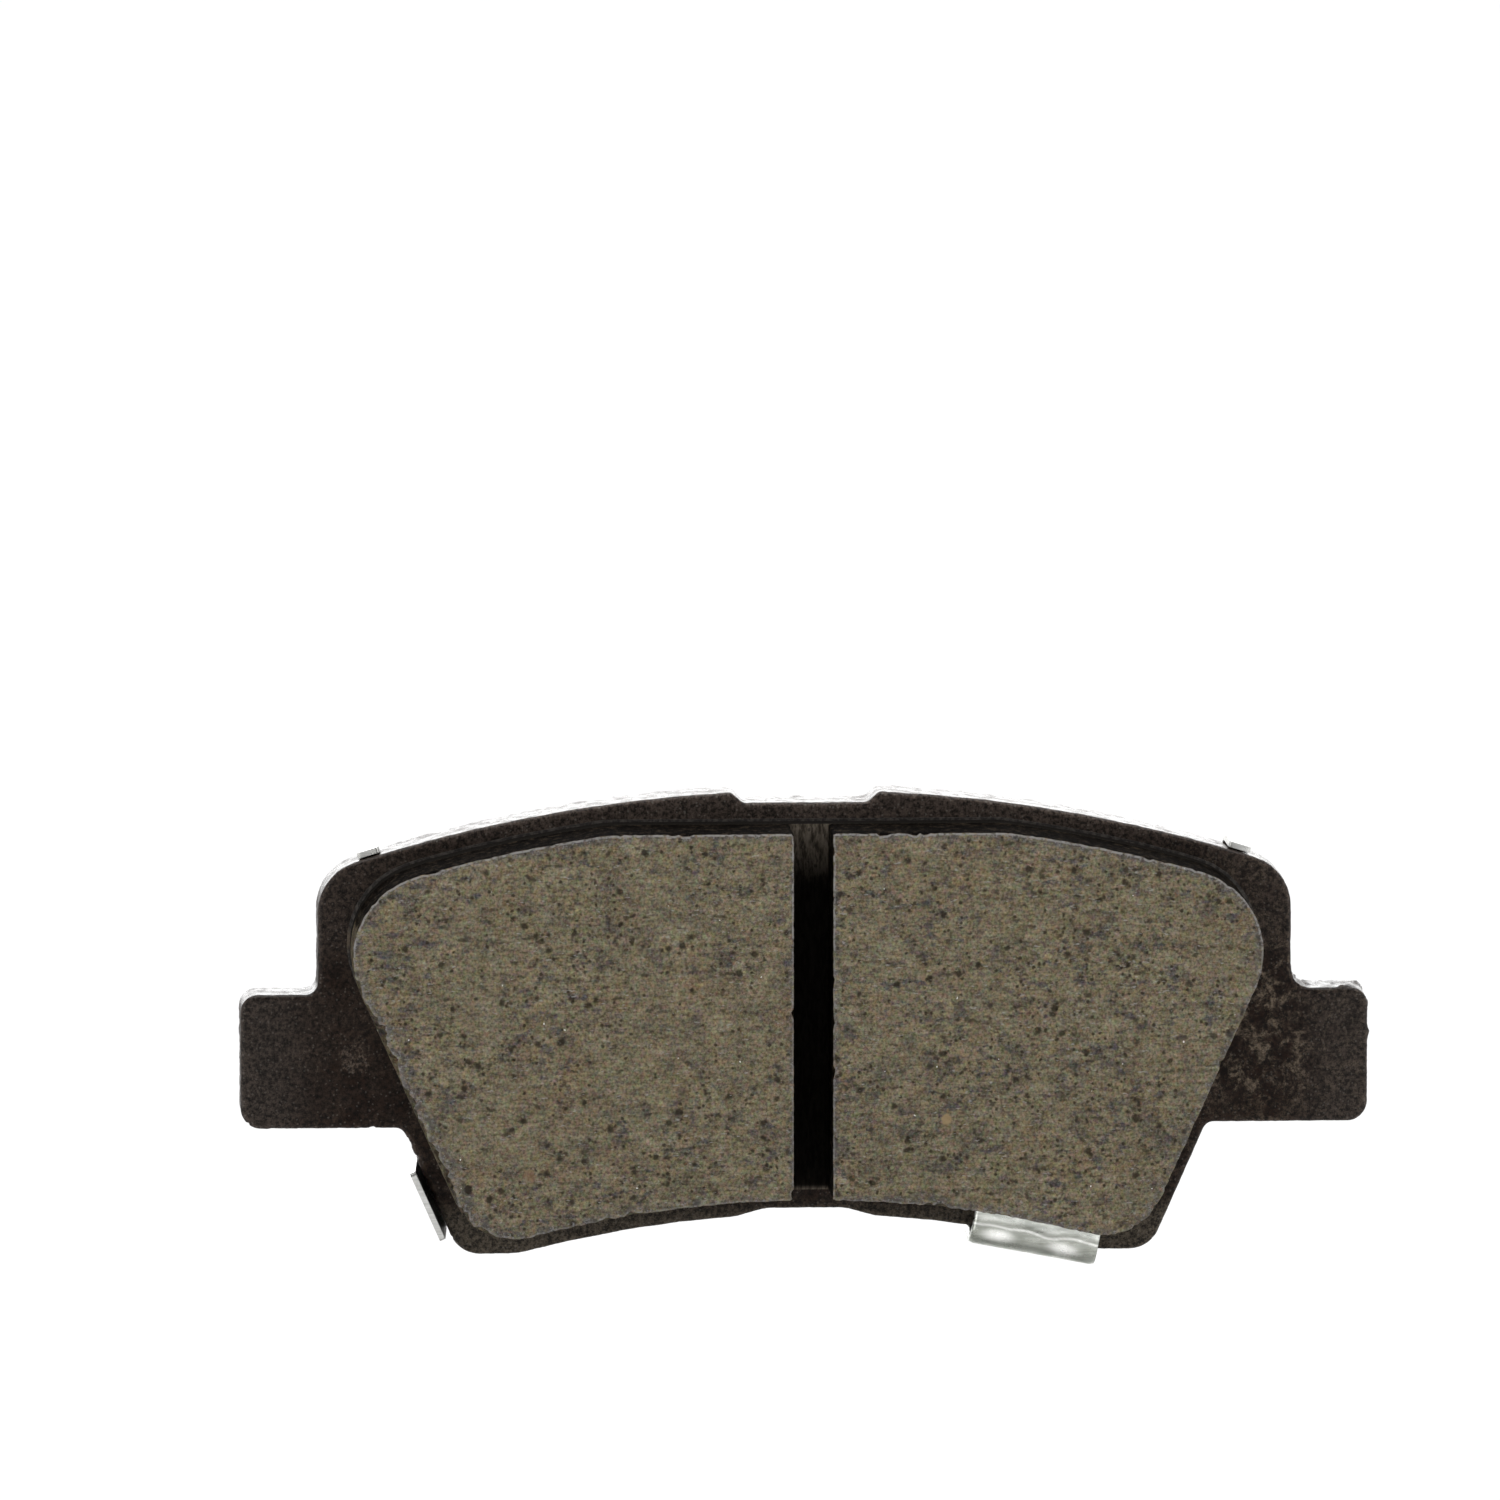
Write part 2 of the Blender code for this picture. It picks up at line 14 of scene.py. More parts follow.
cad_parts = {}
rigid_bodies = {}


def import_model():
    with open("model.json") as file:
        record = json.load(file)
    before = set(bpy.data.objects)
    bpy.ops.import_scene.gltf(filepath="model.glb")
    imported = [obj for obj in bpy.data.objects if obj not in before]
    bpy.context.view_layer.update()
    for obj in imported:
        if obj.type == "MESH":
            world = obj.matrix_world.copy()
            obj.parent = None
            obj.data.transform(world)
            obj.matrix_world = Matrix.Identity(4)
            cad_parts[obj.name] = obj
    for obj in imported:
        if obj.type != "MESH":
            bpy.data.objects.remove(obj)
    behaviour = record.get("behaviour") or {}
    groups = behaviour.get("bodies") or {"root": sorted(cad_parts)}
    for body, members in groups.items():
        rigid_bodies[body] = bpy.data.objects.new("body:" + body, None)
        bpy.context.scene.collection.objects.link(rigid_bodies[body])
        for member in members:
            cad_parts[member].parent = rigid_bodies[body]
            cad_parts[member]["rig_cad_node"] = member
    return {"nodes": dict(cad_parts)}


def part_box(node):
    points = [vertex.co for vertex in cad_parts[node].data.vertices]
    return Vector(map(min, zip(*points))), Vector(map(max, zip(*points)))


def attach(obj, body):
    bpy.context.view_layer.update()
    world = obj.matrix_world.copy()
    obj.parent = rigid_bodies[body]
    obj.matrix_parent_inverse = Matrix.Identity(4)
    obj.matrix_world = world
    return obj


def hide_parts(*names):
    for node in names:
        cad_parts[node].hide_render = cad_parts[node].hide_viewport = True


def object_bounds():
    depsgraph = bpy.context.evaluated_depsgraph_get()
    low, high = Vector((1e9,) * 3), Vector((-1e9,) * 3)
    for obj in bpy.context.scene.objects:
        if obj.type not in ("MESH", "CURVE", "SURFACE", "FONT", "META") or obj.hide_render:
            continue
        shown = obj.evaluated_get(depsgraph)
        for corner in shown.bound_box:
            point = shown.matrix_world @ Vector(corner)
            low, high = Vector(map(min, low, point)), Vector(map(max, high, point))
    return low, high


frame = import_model()
CAD_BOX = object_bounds()

MM = 0.001

# ---- friction blocks ----
BLOCK_STEP = 0.32 * MM
BLOCK_WALL_ROWS = 14
BLOCK_EDGE_R = 0.16 * MM
BLOCK_EDGE_SWINGS = (30, 60, 90)
BLOCK_FACE_RINGS = 56
CHIP_REACH = 0.9 * MM
CHIP_DEPTH, CHIP_NOISE, CHIP_THRESHOLD = 0.45 * MM, 850, 0.55
CHIP_SINKS = 0.4
CRUMB_DEPTH, CRUMB_NOISE, CRUMB_THRESHOLD, CRUMB_COVER = 0.5 * MM, 1900, 0.15, 0.4
RIM_REACH = 0.75 * MM
GRAIN_HEIGHT, GRAIN_NOISE = 0.012 * MM, 2600
WALL_ROUGHNESS, WALL_NOISE = 0.07 * MM, 1300
PAINT_EDGE_NOISE, PAINT_PATCH_NOISE = 900, 1500
# How crumbly the rim is, from 0 to 1: everywhere, more on the left flank and below, less by the slot.
CRUMBLY, CRUMBLY_LEFT, CRUMBLY_LOW, FIRM_AT_SLOT = 0.22, 0.72, 0.12, 0.7
LEFT_FLANK_X, LEFT_FLANK_Z = (-24 * MM, -34 * MM), (12 * MM, 4 * MM)
BLOCK_BOTTOM_Z = (-8 * MM, -12 * MM)
SLOT_CORNER_X = (5 * MM, 3 * MM)
# where the slot's walls turn fully dark, as painted shade
SLOT_WALL_X = (3 * MM, 2 * MM)

# ---- backing plate ----
PLATE_STEP = 0.22 * MM
PLATE_SECTION_DEPTH = 1 * MM
PLATE_ROLLOVER_R, PLATE_ROLLOVER_SWINGS = 0.45 * MM, (0, 22, 45, 68, 90)
PLATE_BURR_R, PLATE_BURR_SWINGS = 0.22 * MM, (0, 45, 90)
PLATE_WALL_ROWS = 10
PLATE_WALL_ROUGHNESS, PLATE_WALL_NOISE, PLATE_FINE_NOISE = 0.05 * MM, 700, 2500
TEAR_DEPTH = 1.5 * MM
RAGGED_X, RAGGED_Z = -30 * MM, (-16 * MM, -5.5 * MM)
RAGGED_DEPTH, RAGGED_NOISE = 0.28 * MM, 1100
LUMP_HEIGHT, LUMP_NOISE, LUMP_THRESHOLD = 0.55 * MM, 620, 0.28
LUMP_X = (40 * MM, 41.5 * MM)
LUMP_Z_FROM, LUMP_Z_TO = (0.5 * MM, 3 * MM), (9 * MM, 7.5 * MM)
LUMP_SHIFT = Vector((0.0, 0.0, 7 * MM))
ANCHOR_BAND_X = 18 * MM
ANCHOR_BAND_Z = (-0.8 * MM, 7.8 * MM)
PIP_X, PIP_Z, PIP_R, PIP_H = 28.5 * MM, 8.5 * MM, 2.5 * MM, 1.05 * MM
PIP_SIDES = 64
# The pip's root as (past its radius, height), and its shoulder as (inside its radius, below its top).
PIP_ROOT = ((0.25 * MM, -0.02 * MM), (0.07 * MM, 0.05 * MM), (0.0, 0.2 * MM))
PIP_SHOULDER = ((0.02 * MM, 0.25 * MM), (0.1 * MM, 0.08 * MM), (0.3 * MM, 0.01 * MM))
PIP_CROWN = 0.45

# ---- wear indicator ----
STRIP_TILT = math.radians(10.8)
STRIP_T = 0.8 * MM
STRIP_HALF_W = 5.65 * MM
LEG_HALF_W = 4.5 * MM
LEG_TOP = 12.5 * MM
LEG_SHOULDER = 3.2 * MM
RIVET_HEIGHT = 8 * MM
STRIP_GAP = 0.5 * MM
HEEL_R, TOE_R = 0.6 * MM, 0.8 * MM
FOOT_TOP = 2.15 * MM
FOOT_CORNER, FOOT_CORNER_DROP = 0.9 * MM, 0.35 * MM
FOOT_WAVE, FOOT_WAVE_NOISE = 0.05 * MM, (420, 700)
FOOT_SAG, FOOT_SAG_NOISE = 0.10 * MM, 330
LEG_ROWS, HEEL_ROWS, RUN_ROWS, TOE_ROWS, FOOT_ROWS = 30, 8, 16, 12, 24
STRIP_COLUMNS = 30
STRIP_EDGE_SOFT = 0.12 * MM
# The foot's two shallow dents: middle and half width as shares of the foot's half width, and height.
DENTS = ((-0.58, 0.36, -0.05 * MM), (0.46, 0.34, -0.25 * MM))
DENT_R = 0.8 * MM
DENT_DEPTH = 0.05 * MM
# The foot's crease, drawn only as painted highlight and painted shade: its height, and how far and how
# finely it wanders.
CREASE_Z = 0.95 * MM
CREASE_WANDER, CREASE_NOISE = 0.35 * MM, 420

# ---- colours, as linear red, green and blue ----
# ground lining
LINING_SHADE = (0.088, 0.078, 0.064)
LINING_BODY = (0.165, 0.142, 0.091)
LINING_PALE = (0.210, 0.181, 0.121)
LINING_WARM = (0.172, 0.120, 0.074)
SMUDGE = (0.064, 0.060, 0.064)
PORE = (0.030, 0.025, 0.018)
FINE_GRIT = (0.026, 0.021, 0.014)
COARSE_GRIT = (0.021, 0.017, 0.012)
PALE_FIBRE = (0.32, 0.31, 0.29)
RUST = (0.19, 0.10, 0.055)
TAN_GRAIN = (0.30, 0.215, 0.115)
BLACK_GRAIN = (0.016, 0.012, 0.010)
RUSTY_GRAIN = (0.20, 0.11, 0.06)
# metal flecks, with their glint painted in as near-white colour
METAL_FLECK_GLINT = (0.85, 0.84, 0.80)
WORN_RIM = (0.066, 0.062, 0.062)
# pale rim edge with a painted highlight, strongest along the top edge
PALE_LIP_AND_HIGHLIGHT = (0.25, 0.24, 0.23)
CRUMB = (0.24, 0.235, 0.235)
WALL_PAINT = (0.0012, 0.0007, 0.0004)
WALL_PAINT_FLECK = (0.0260, 0.0200, 0.0140)
# black paint
PAINT_BROWN = (0.0080, 0.0040, 0.0024)
PAINT_BLACK = (0.0150, 0.0098, 0.0070)
# painted light on the plate: towards the ears' tips, higher up, and along the top and bottom bands
PAINTED_LIGHT_AT_TIPS = (0.0205, 0.0158, 0.0130)
PAINTED_LIGHT_HIGH_UP = (0.0205, 0.0150, 0.0120)
PAINTED_LIGHT_TOP_BAND = (0.0330, 0.0250, 0.0205)
PAINTED_LIGHT_BOTTOM_BAND = (0.0330, 0.0270, 0.0200)
RESIN_RESIDUE = (0.074, 0.057, 0.041)
PAINT_HOLLOW = (0.0055, 0.0020, 0.0011)
PAINT_SMEAR = (0.045, 0.037, 0.030)
PAINT_SCUFF = (0.060, 0.046, 0.036)
DUST = (0.15, 0.135, 0.12)
WALL_SCALE = (0.09, 0.08, 0.07)
# resin line and underlayer
RESIN_DARK = (0.012, 0.010, 0.008)
RESIN_GREY = (0.060, 0.052, 0.045)
RESIN_TAN = (0.20, 0.14, 0.08)
UNDERLAYER_DARK = (0.034, 0.027, 0.020)
UNDERLAYER_FIBRE = (0.165, 0.140, 0.110)
UNDERLAYER_SPECK = (0.030, 0.026, 0.022)
# painted shade on the slot's floor
SLOT_FLOOR_SHADE = (0.0015, 0.0012, 0.001)
UNDERLAYER_PAINT = (0.006, 0.005, 0.004)
# zinc, stainless and bare steel
ZINC_GREY = (0.52, 0.54, 0.50)
ZINC_BRIGHT = (0.72, 0.73, 0.69)
ZINC_STREAK = (0.50, 0.51, 0.47)
# painted shade and painted highlight on the foot's bent sheet
ZINC_PAINTED_SHADE = (0.25, 0.26, 0.225)
ZINC_PAINTED_HIGHLIGHT = (0.98, 0.98, 0.95)
STAINLESS_GREY = (0.44, 0.44, 0.42)
STAINLESS_BRIGHT = (0.62, 0.62, 0.60)
STAINLESS_STAIN = (0.46, 0.44, 0.40)
CORE_GREY = (0.34, 0.34, 0.33)
CORE_BRIGHT = (0.52, 0.52, 0.50)
# shim rubber
RUBBER_BLACK = (0.012, 0.012, 0.013)
RUBBER_GREY = (0.030, 0.030, 0.032)
RUBBER_BLOOM = (0.055, 0.054, 0.052)

# ---- marks set near their places in the photo: x, z and radius in millimetres ----
TAN_GRAIN_SPOT = (11.9, -4.2, 0.5)
BLACK_GRAIN_SPOT = (-30.2, -10.1, 0.42)
RUSTY_GRAIN_SPOT = (-24.8, -8.9, 0.6)
SCUFF_SPOT, SCUFF_RAGGED = (-39.8, 0.6, 1.5), 0.8

# ---- camera and stage ----
CAMERA_AZIMUTH = math.radians(-3.1)
CAMERA_ELEVATION = math.radians(6.8)
CAMERA_DISTANCE = 1.3
CAMERA_VIEW_WIDTH = 132.74 * MM
CAMERA_AIM = (-4.89 * MM, 27.3 * MM)
CAMERA_CLIP = (0.05, 30.0)
SENSOR_WIDTH = 36.0
WHITE = (1.0, 1.0, 1.0, 1.0)
FLOOR_HALF_SIZE = 6.0
FLOOR_DROP = 8 * MM
FLOOR_COLOUR = (0.93, 0.93, 0.925, 1.0)
FLOOR_GLOW = 1.04
FLOOR_GLOW_SHARE = 0.93
WORLD_STRENGTH = 3.4
# Grey of the world's light by direction, from 0 on the disc side to 1 behind the pad.
WORLD_ENDS = ((0.12, 0.01), (0.96, 1.0))
WORLD_BETWEEN = ((0.5, 0.14), (0.86, 0.22))
WORLD_BLUE = 1.03
# The lamps: name, place, size in metres, and power in watts.
SOFTBOXES = (
    ("overhead", (0.0, 0.05, 0.85), (1.1, 0.8), 8.4),
    ("side_left", (-0.95, -0.45, 0.16), (0.7, 0.9), 6.4),
    ("side_right", (0.95, -0.45, 0.16), (0.7, 0.9), 6.0),
)


# ---- outlines: lists of (x, z) points round a middle ----


def section(node, depth, skip=None):
    """The outline of a CAD node where a plane at this depth cuts it, sorted round its middle."""
    mesh = frame["nodes"][node].data
    found = set()
    for edge in mesh.edges:
        a, b = (mesh.vertices[i].co for i in edge.vertices)
        if (a.y - depth) * (b.y - depth) < 0:
            p = a.lerp(b, (depth - a.y) / (b.y - a.y))
            if skip is None or not skip(p.x, p.z):
                found.add((round(p.x, 6), round(p.z, 6)))
    middle = Vector((sum(x for x, _ in found), sum(z for _, z in found))) / len(found)
    points = [Vector(p) for p in found]
    points.sort(key=lambda p: math.atan2(p.y - middle.y, p.x - middle.x))
    return points


def resample(points, step):
    """The closed outline again, with points an even step apart."""
    lengths = [(points[(i + 1) % len(points)] - p).length for i, p in enumerate(points)]
    count = round(sum(lengths) / step)
    spacing = sum(lengths) / count
    even, i, walked = [], 0, 0.0
    for k in range(count):
        while walked + lengths[i] < k * spacing:
            walked += lengths[i]
            i += 1
        share = (k * spacing - walked) / lengths[i]
        even.append(points[i].lerp(points[(i + 1) % len(points)], share))
    return even


def outward_normals(points):
    """Unit normals of a counterclockwise outline."""
    normals = []
    for i in range(len(points)):
        along = points[(i + 1) % len(points)] - points[i - 1]
        normals.append(Vector((along.y, -along.x)).normalized())
    return normals


def smoothstep(low, high, value):
    """Eases from 0 at low to 1 at high, which may be the lower of the two."""
    t = min(1.0, max(0.0, (value - low) / (high - low)))
    return t * t * (3 - 2 * t)


# ---- meshes ----


def arc(radius, swings):
    """Pairs of radius times sine and cosine, one for each swing in degrees."""
    return [(radius * math.sin(math.radians(a)), radius * math.cos(math.radians(a))) for a in swings]


def loft(name, rings, cap_start=True):
    """A skin over closed rings of points, each with as many points; flat faces cap its ends."""
    bm = bmesh.new()
    rows = [[bm.verts.new(p) for p in ring] for ring in rings]
    for lower, upper in zip(rows, rows[1:]):
        for i in range(len(lower)):
            bm.faces.new((lower[i - 1], lower[i], upper[i], upper[i - 1]))
    for face in bm.faces:
        face.smooth = True
    if cap_start:
        bm.faces.new(rows[0])
    bm.faces.new(rows[-1])
    bmesh.ops.recalc_face_normals(bm, faces=bm.faces)
    mesh = bpy.data.meshes.new(name)
    bm.to_mesh(mesh)
    bm.free()
    obj = bpy.data.objects.new(name, mesh)
    bpy.context.scene.collection.objects.link(obj)
    return obj


def set_attribute(obj, name, values):
    attribute = obj.data.attributes.new(name, "FLOAT", "POINT")
    attribute.data.foreach_set("value", values)


def fractal(point, scale, octaves=3):
    """Smooth noise from about -1 to 1, with features about 1/scale across."""
    return noise.fractal(point * scale, 1.0, 2.0, octaves)


def chipping(x, z):
    """How crumbly the lining's rim is here: most along the left flank, a little at the bottom."""
    left = smoothstep(*LEFT_FLANK_X, x) * smoothstep(*LEFT_FLANK_Z, z)
    low = smoothstep(*BLOCK_BOTTOM_Z, z)
    at_slot = smoothstep(*SLOT_CORNER_X, abs(x))
    amount = CRUMBLY + CRUMBLY_LEFT * left + CRUMBLY_LOW * low * (1 - left)
    return amount * (1 - FIRM_AT_SLOT * at_slot)


def chip_depth(rim, crumbly):
    """How deep the rim is broken away at this place: scattered chips, and crumbs between them."""
    chip = max(0.0, fractal(rim, CHIP_NOISE) + crumbly - CHIP_THRESHOLD) * CHIP_DEPTH
    crumbs = max(0.0, CRUMB_COVER + fractal(rim, CRUMB_NOISE))
    return chip + max(0.0, crumbly - CRUMB_THRESHOLD) * CRUMB_DEPTH * crumbs


def wall_paint(here, normal_z):
    """Black paint on the lining's wall, from 0 to 1: full on top and patchy elsewhere, and full in the slot
    as painted shade.
    """
    # Painted shade: the slot's walls are made fully dark.
    slot_wall_shade = smoothstep(*SLOT_WALL_X, abs(here.x))
    upward = smoothstep(0.1, 0.45, normal_z + 0.25 * fractal(here, PAINT_EDGE_NOISE))
    patchy = 0.62 + 0.3 * fractal(here, PAINT_PATCH_NOISE)
    return max(slot_wall_shade, upward, patchy)


def make_friction_block(node):
    """Ground friction face with a crumbly rim, and rough moulded walls."""
    low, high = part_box(node)
    outline = resample(section(node, (low.y + high.y) / 2), BLOCK_STEP)
    normals = outward_normals(outline)
    middle = sum(outline, Vector((0.0, 0.0))) / len(outline)
    face_y, back_y = low.y, high.y

    profile = []
    for row in range(BLOCK_WALL_ROWS + 1):
        profile.append((0.0, back_y + (face_y + BLOCK_EDGE_R - back_y) * row / BLOCK_WALL_ROWS))
    for s, c in arc(BLOCK_EDGE_R, BLOCK_EDGE_SWINGS):
        profile.append((BLOCK_EDGE_R - c, face_y + BLOCK_EDGE_R - s))
    wall_rings = len(profile)

    rings, rim_values, paint_and_shade_values = [], [], []
    for inset, y in profile:
        ring = []
        for p, n in zip(outline, normals):
            here = Vector((p.x, y, p.y))
            near_face = smoothstep(face_y + CHIP_REACH, face_y, y)
            chip = near_face * chip_depth(Vector((p.x, face_y, p.y)), chipping(p.x, p.y))
            in_by = inset + chip + WALL_ROUGHNESS * abs(fractal(here, WALL_NOISE))
            if y == back_y:
                in_by = 0.0
            ring.append((p.x - n.x * in_by, y + chip * CHIP_SINKS, p.y - n.y * in_by))
            rim_values.append(0.0)
            paint_and_shade_values.append(wall_paint(here, n.y) if inset == 0.0 else 0.0)
        rings.append(ring)
    edge_ring = [Vector(v) for v in rings[-1]]
    for k in range(1, BLOCK_FACE_RINGS + 1):
        scale = 1 - k / (BLOCK_FACE_RINGS + 1)
        ring = []
        for edge in edge_ring:
            flat = Vector((middle.x, face_y, middle.y)).lerp(edge, scale)
            from_rim = (1 - scale) * math.hypot(edge.x - middle.x, edge.z - middle.y)
            sunk = (edge.y - face_y) * smoothstep(CHIP_REACH, 0.0, from_rim)
            grain = GRAIN_HEIGHT * (1 + fractal(flat, GRAIN_NOISE))
            ring.append((flat.x, face_y + sunk + grain, flat.z))
            reach = RIM_REACH * (0.5 + 1.5 * chipping(edge.x, edge.z))
            rim_values.append(smoothstep(reach, 0.1 * MM, from_rim))
            paint_and_shade_values.append(0.0)
        rings.append(ring)
    block = loft(f"{node}_surface", rings)
    count = len(outline)
    for i in range((wall_rings - len(BLOCK_EDGE_SWINGS)) * count, wall_rings * count):
        rim_values[i] = 1.0
    set_attribute(block, "rim", rim_values)
    set_attribute(block, "paint", paint_and_shade_values)
    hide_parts(node)
    return block


def in_anchor_band(x, z):
    return abs(x) < ANCHOR_BAND_X and ANCHOR_BAND_Z[0] < z < ANCHOR_BAND_Z[1]


def plate_roughness(here, torn):
    """The sheared wall's unevenness, coarser where the steel tore: dents above 0, bumps below."""
    coarse = fractal(here, PLATE_WALL_NOISE) * (0.5 + torn)
    rough = PLATE_WALL_ROUGHNESS * (coarse + 0.5 * fractal(here, PLATE_FINE_NOISE))
    if here.x < RAGGED_X and RAGGED_Z[0] < here.z < RAGGED_Z[1]:
        rough += RAGGED_DEPTH * max(0.0, fractal(Vector((here.x, 0.0, here.z)), RAGGED_NOISE))
    return rough


def lump_height(here):
    """Height of the lumps of paint on top of the right ear."""
    on_ear = smoothstep(*LUMP_X, here.x) * smoothstep(*LUMP_Z_FROM, here.z)
    on_ear *= smoothstep(*LUMP_Z_TO, here.z)
    return on_ear * LUMP_HEIGHT * max(0.0, fractal(here + LUMP_SHIFT, LUMP_NOISE) - LUMP_THRESHOLD)


def make_plate():
    """Stamped plate: rolled-over edge on the disc side, rough sheared walls, a small burr at the back."""
    low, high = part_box("backing_plate")
    back_y = high.y - PIP_H
    outline = section("backing_plate", low.y + PLATE_SECTION_DEPTH, skip=in_anchor_band)
    outline = resample(outline, PLATE_STEP)
    normals = outward_normals(outline)
    profile = []
    for s, c in arc(PLATE_ROLLOVER_R, PLATE_ROLLOVER_SWINGS):
        profile.append((PLATE_ROLLOVER_R - s, low.y + PLATE_ROLLOVER_R - c))
    wall_from, wall_to = low.y + PLATE_ROLLOVER_R, back_y - PLATE_BURR_R
    for row in range(1, PLATE_WALL_ROWS):
        profile.append((0.0, wall_from + (wall_to - wall_from) * row / PLATE_WALL_ROWS))
    for s, c in arc(PLATE_BURR_R, PLATE_BURR_SWINGS):
        profile.append((PLATE_BURR_R - c, wall_to + s))
    rings, edge_values = [], []
    for inset, y in profile:
        ring = []
        for p, n in zip(outline, normals):
            here = Vector((p.x, y, p.y))
            torn = smoothstep(wall_from, wall_from + TEAR_DEPTH, y)
            in_by = inset + plate_roughness(here, torn) - lump_height(here)
            ring.append((p.x - n.x * in_by, y, p.y - n.y * in_by))
            edge_values.append(1.0 - abs(2 * (y - low.y) / (back_y - low.y) - 1))
        rings.append(ring)
    plate = loft("backing_plate_surface", rings)
    set_attribute(plate, "wall", edge_values)
    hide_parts("backing_plate")
    return plate, back_y


def make_pip(name, x, z, back_y):
    """Half-sheared pip that locates the shims, domed a little and with a soft root."""
    profile = [(PIP_R + past, height) for past, height in PIP_ROOT]
    profile += [(PIP_R - inside, PIP_H - below) for inside, below in PIP_SHOULDER]
    profile.append((PIP_R * PIP_CROWN, PIP_H))
    turns = [2 * math.pi * k / PIP_SIDES for k in range(PIP_SIDES)]
    rings = []
    for radius, height in profile:
        rings.append([(x + radius * math.cos(t), back_y + height, z + radius * math.sin(t)) for t in turns])
    return loft(name, rings, cap_start=False)


def strip_path(back_y, foot_front_y):
    """The strip's middle line as (y, z, normal y, normal z) in the indicator's frame, leg first."""
    half = STRIP_T / 2
    heel_r, toe_r = HEEL_R + half, TOE_R + half
    path = []
    heel_z = -STRIP_GAP + HEEL_R
    for k in range(LEG_ROWS):
        path.append((back_y + half, LEG_TOP + (heel_z - LEG_TOP) * k / LEG_ROWS, 1.0, 0.0))
    heel_y = back_y - HEEL_R
    for k in range(HEEL_ROWS + 1):
        turn = math.pi / 2 * k / HEEL_ROWS
        s, c = math.sin(turn), math.cos(turn)
        path.append((heel_y + heel_r * c, heel_z - heel_r * s, c, -s))
    toe_y = foot_front_y + STRIP_T + TOE_R
    toe_z = -STRIP_GAP + TOE_R
    for k in range(1, RUN_ROWS):
        path.append((heel_y + (toe_y - heel_y) * k / RUN_ROWS, -STRIP_GAP - half, 0.0, -1.0))
    for k in range(TOE_ROWS + 1):
        turn = math.pi / 2 * k / TOE_ROWS
        s, c = math.sin(turn), math.cos(turn)
        path.append((toe_y - toe_r * s, toe_z - toe_r * c, -s, -c))
    for k in range(1, FOOT_ROWS + 1):
        path.append((foot_front_y + half, toe_z + (FOOT_TOP - toe_z) * k / FOOT_ROWS, -1.0, 0.0))
    return path


def strip_half_width(z, on_leg):
    if not on_leg:
        return STRIP_HALF_W
    if z > LEG_TOP - LEG_HALF_W:
        across = (z - (LEG_TOP - LEG_HALF_W)) / LEG_HALF_W
        return max(0.3 * MM, LEG_HALF_W * math.sqrt(max(0.0, 1 - across**2)))
    widen = smoothstep(LEG_SHOULDER + 1.2 * MM, LEG_SHOULDER, z)
    return LEG_HALF_W + (STRIP_HALF_W - LEG_HALF_W) * widen


def dented(share, z):
    """From 0 to 1 towards the middle of the foot's nearer dent."""
    away = [math.hypot((share - at) / reach, (z - height) / DENT_R) for at, reach, height in DENTS]
    return smoothstep(1.0, 0.15, min(away))


def crease_highlight_and_shade(w, z):
    """Painted highlight along the foot's wavy crease, and painted shade round and below it."""
    crease_z = CREASE_Z + CREASE_WANDER * noise.noise(Vector((w * CREASE_NOISE, 1.0, 9.0)))
    crease_highlight = 0.6 * smoothstep(0.16 * MM, 0.04 * MM, abs(z - crease_z + 0.25 * MM))
    beside = smoothstep(0.4 * MM, 0.1 * MM, abs(z - crease_z))
    above = smoothstep(crease_z, crease_z + 0.4 * MM, z)
    return crease_highlight, max(0.85 - 0.80 * above, 0.8 * beside)


def make_wear_indicator():
    """Zinc-plated strip: leg on the back, run under the plate and a hand-bent, dented foot."""
    low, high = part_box("wear_indicator")
    rivet_low, rivet_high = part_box("wear_indicator_rivet")
    rivet = (rivet_low + rivet_high) / 2
    up = Vector((math.sin(STRIP_TILT), 0.0, math.cos(STRIP_TILT)))
    across = Vector((math.cos(STRIP_TILT), 0.0, -math.sin(STRIP_TILT)))
    origin = Vector((rivet.x, 0.0, rivet.z)) - up * RIVET_HEIGHT
    rings, painted_highlights, painted_shades = [], [], []
    for index, (y, z, ny, nz) in enumerate(strip_path(high.y - STRIP_T, low.y)):
        half_w = strip_half_width(z, index < LEG_ROWS)
        on_foot = smoothstep(low.y + STRIP_T + TOE_R, low.y + STRIP_T, y)
        tip = on_foot * smoothstep(FOOT_TOP - FOOT_CORNER, FOOT_TOP, z)
        ring = []
        for side in (1, -1):
            for k in range(STRIP_COLUMNS + 1):
                share = side * (1 - 2 * k / STRIP_COLUMNS)
                w = share * half_w
                corner = tip * FOOT_CORNER_DROP * smoothstep(0.82, 1.0, abs(share))
                soft = STRIP_EDGE_SOFT * smoothstep(0.93, 1.0, abs(share))
                off = side * (STRIP_T / 2 - soft)
                ripple = Vector((w * FOOT_WAVE_NOISE[0], z * FOOT_WAVE_NOISE[1], 3.0))
                wave = on_foot * FOOT_WAVE * noise.noise(ripple)
                sag = on_foot * FOOT_SAG * noise.noise(Vector((w * FOOT_SAG_NOISE, 7.0, 1.0)))
                # The dent is pressed into the sheet and also carries a painted highlight.
                dent_and_highlight = on_foot * dented(share, z + nz * off)
                wave -= side * DENT_DEPTH * dent_and_highlight
                point_y = y + ny * (off + wave)
                point_z = z + nz * (off + wave) + sag - corner
                ring.append(origin + across * w + up * point_z + Vector((0.0, point_y, 0.0)))
                # Painted highlight in the dents and along the crease, painted shade round and below the
                # crease.
                crease_highlight, painted_shade = crease_highlight_and_shade(w, point_z)
                painted_highlights.append(max(dent_and_highlight, on_foot * crease_highlight))
                painted_shades.append(on_foot * painted_shade)
        rings.append(ring)
    strip = loft("wear_indicator_strip", rings)
    set_attribute(strip, "painted_highlights", painted_highlights)
    set_attribute(strip, "painted_shade", painted_shades)
    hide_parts("wear_indicator")
    return strip


# ---- materials ----


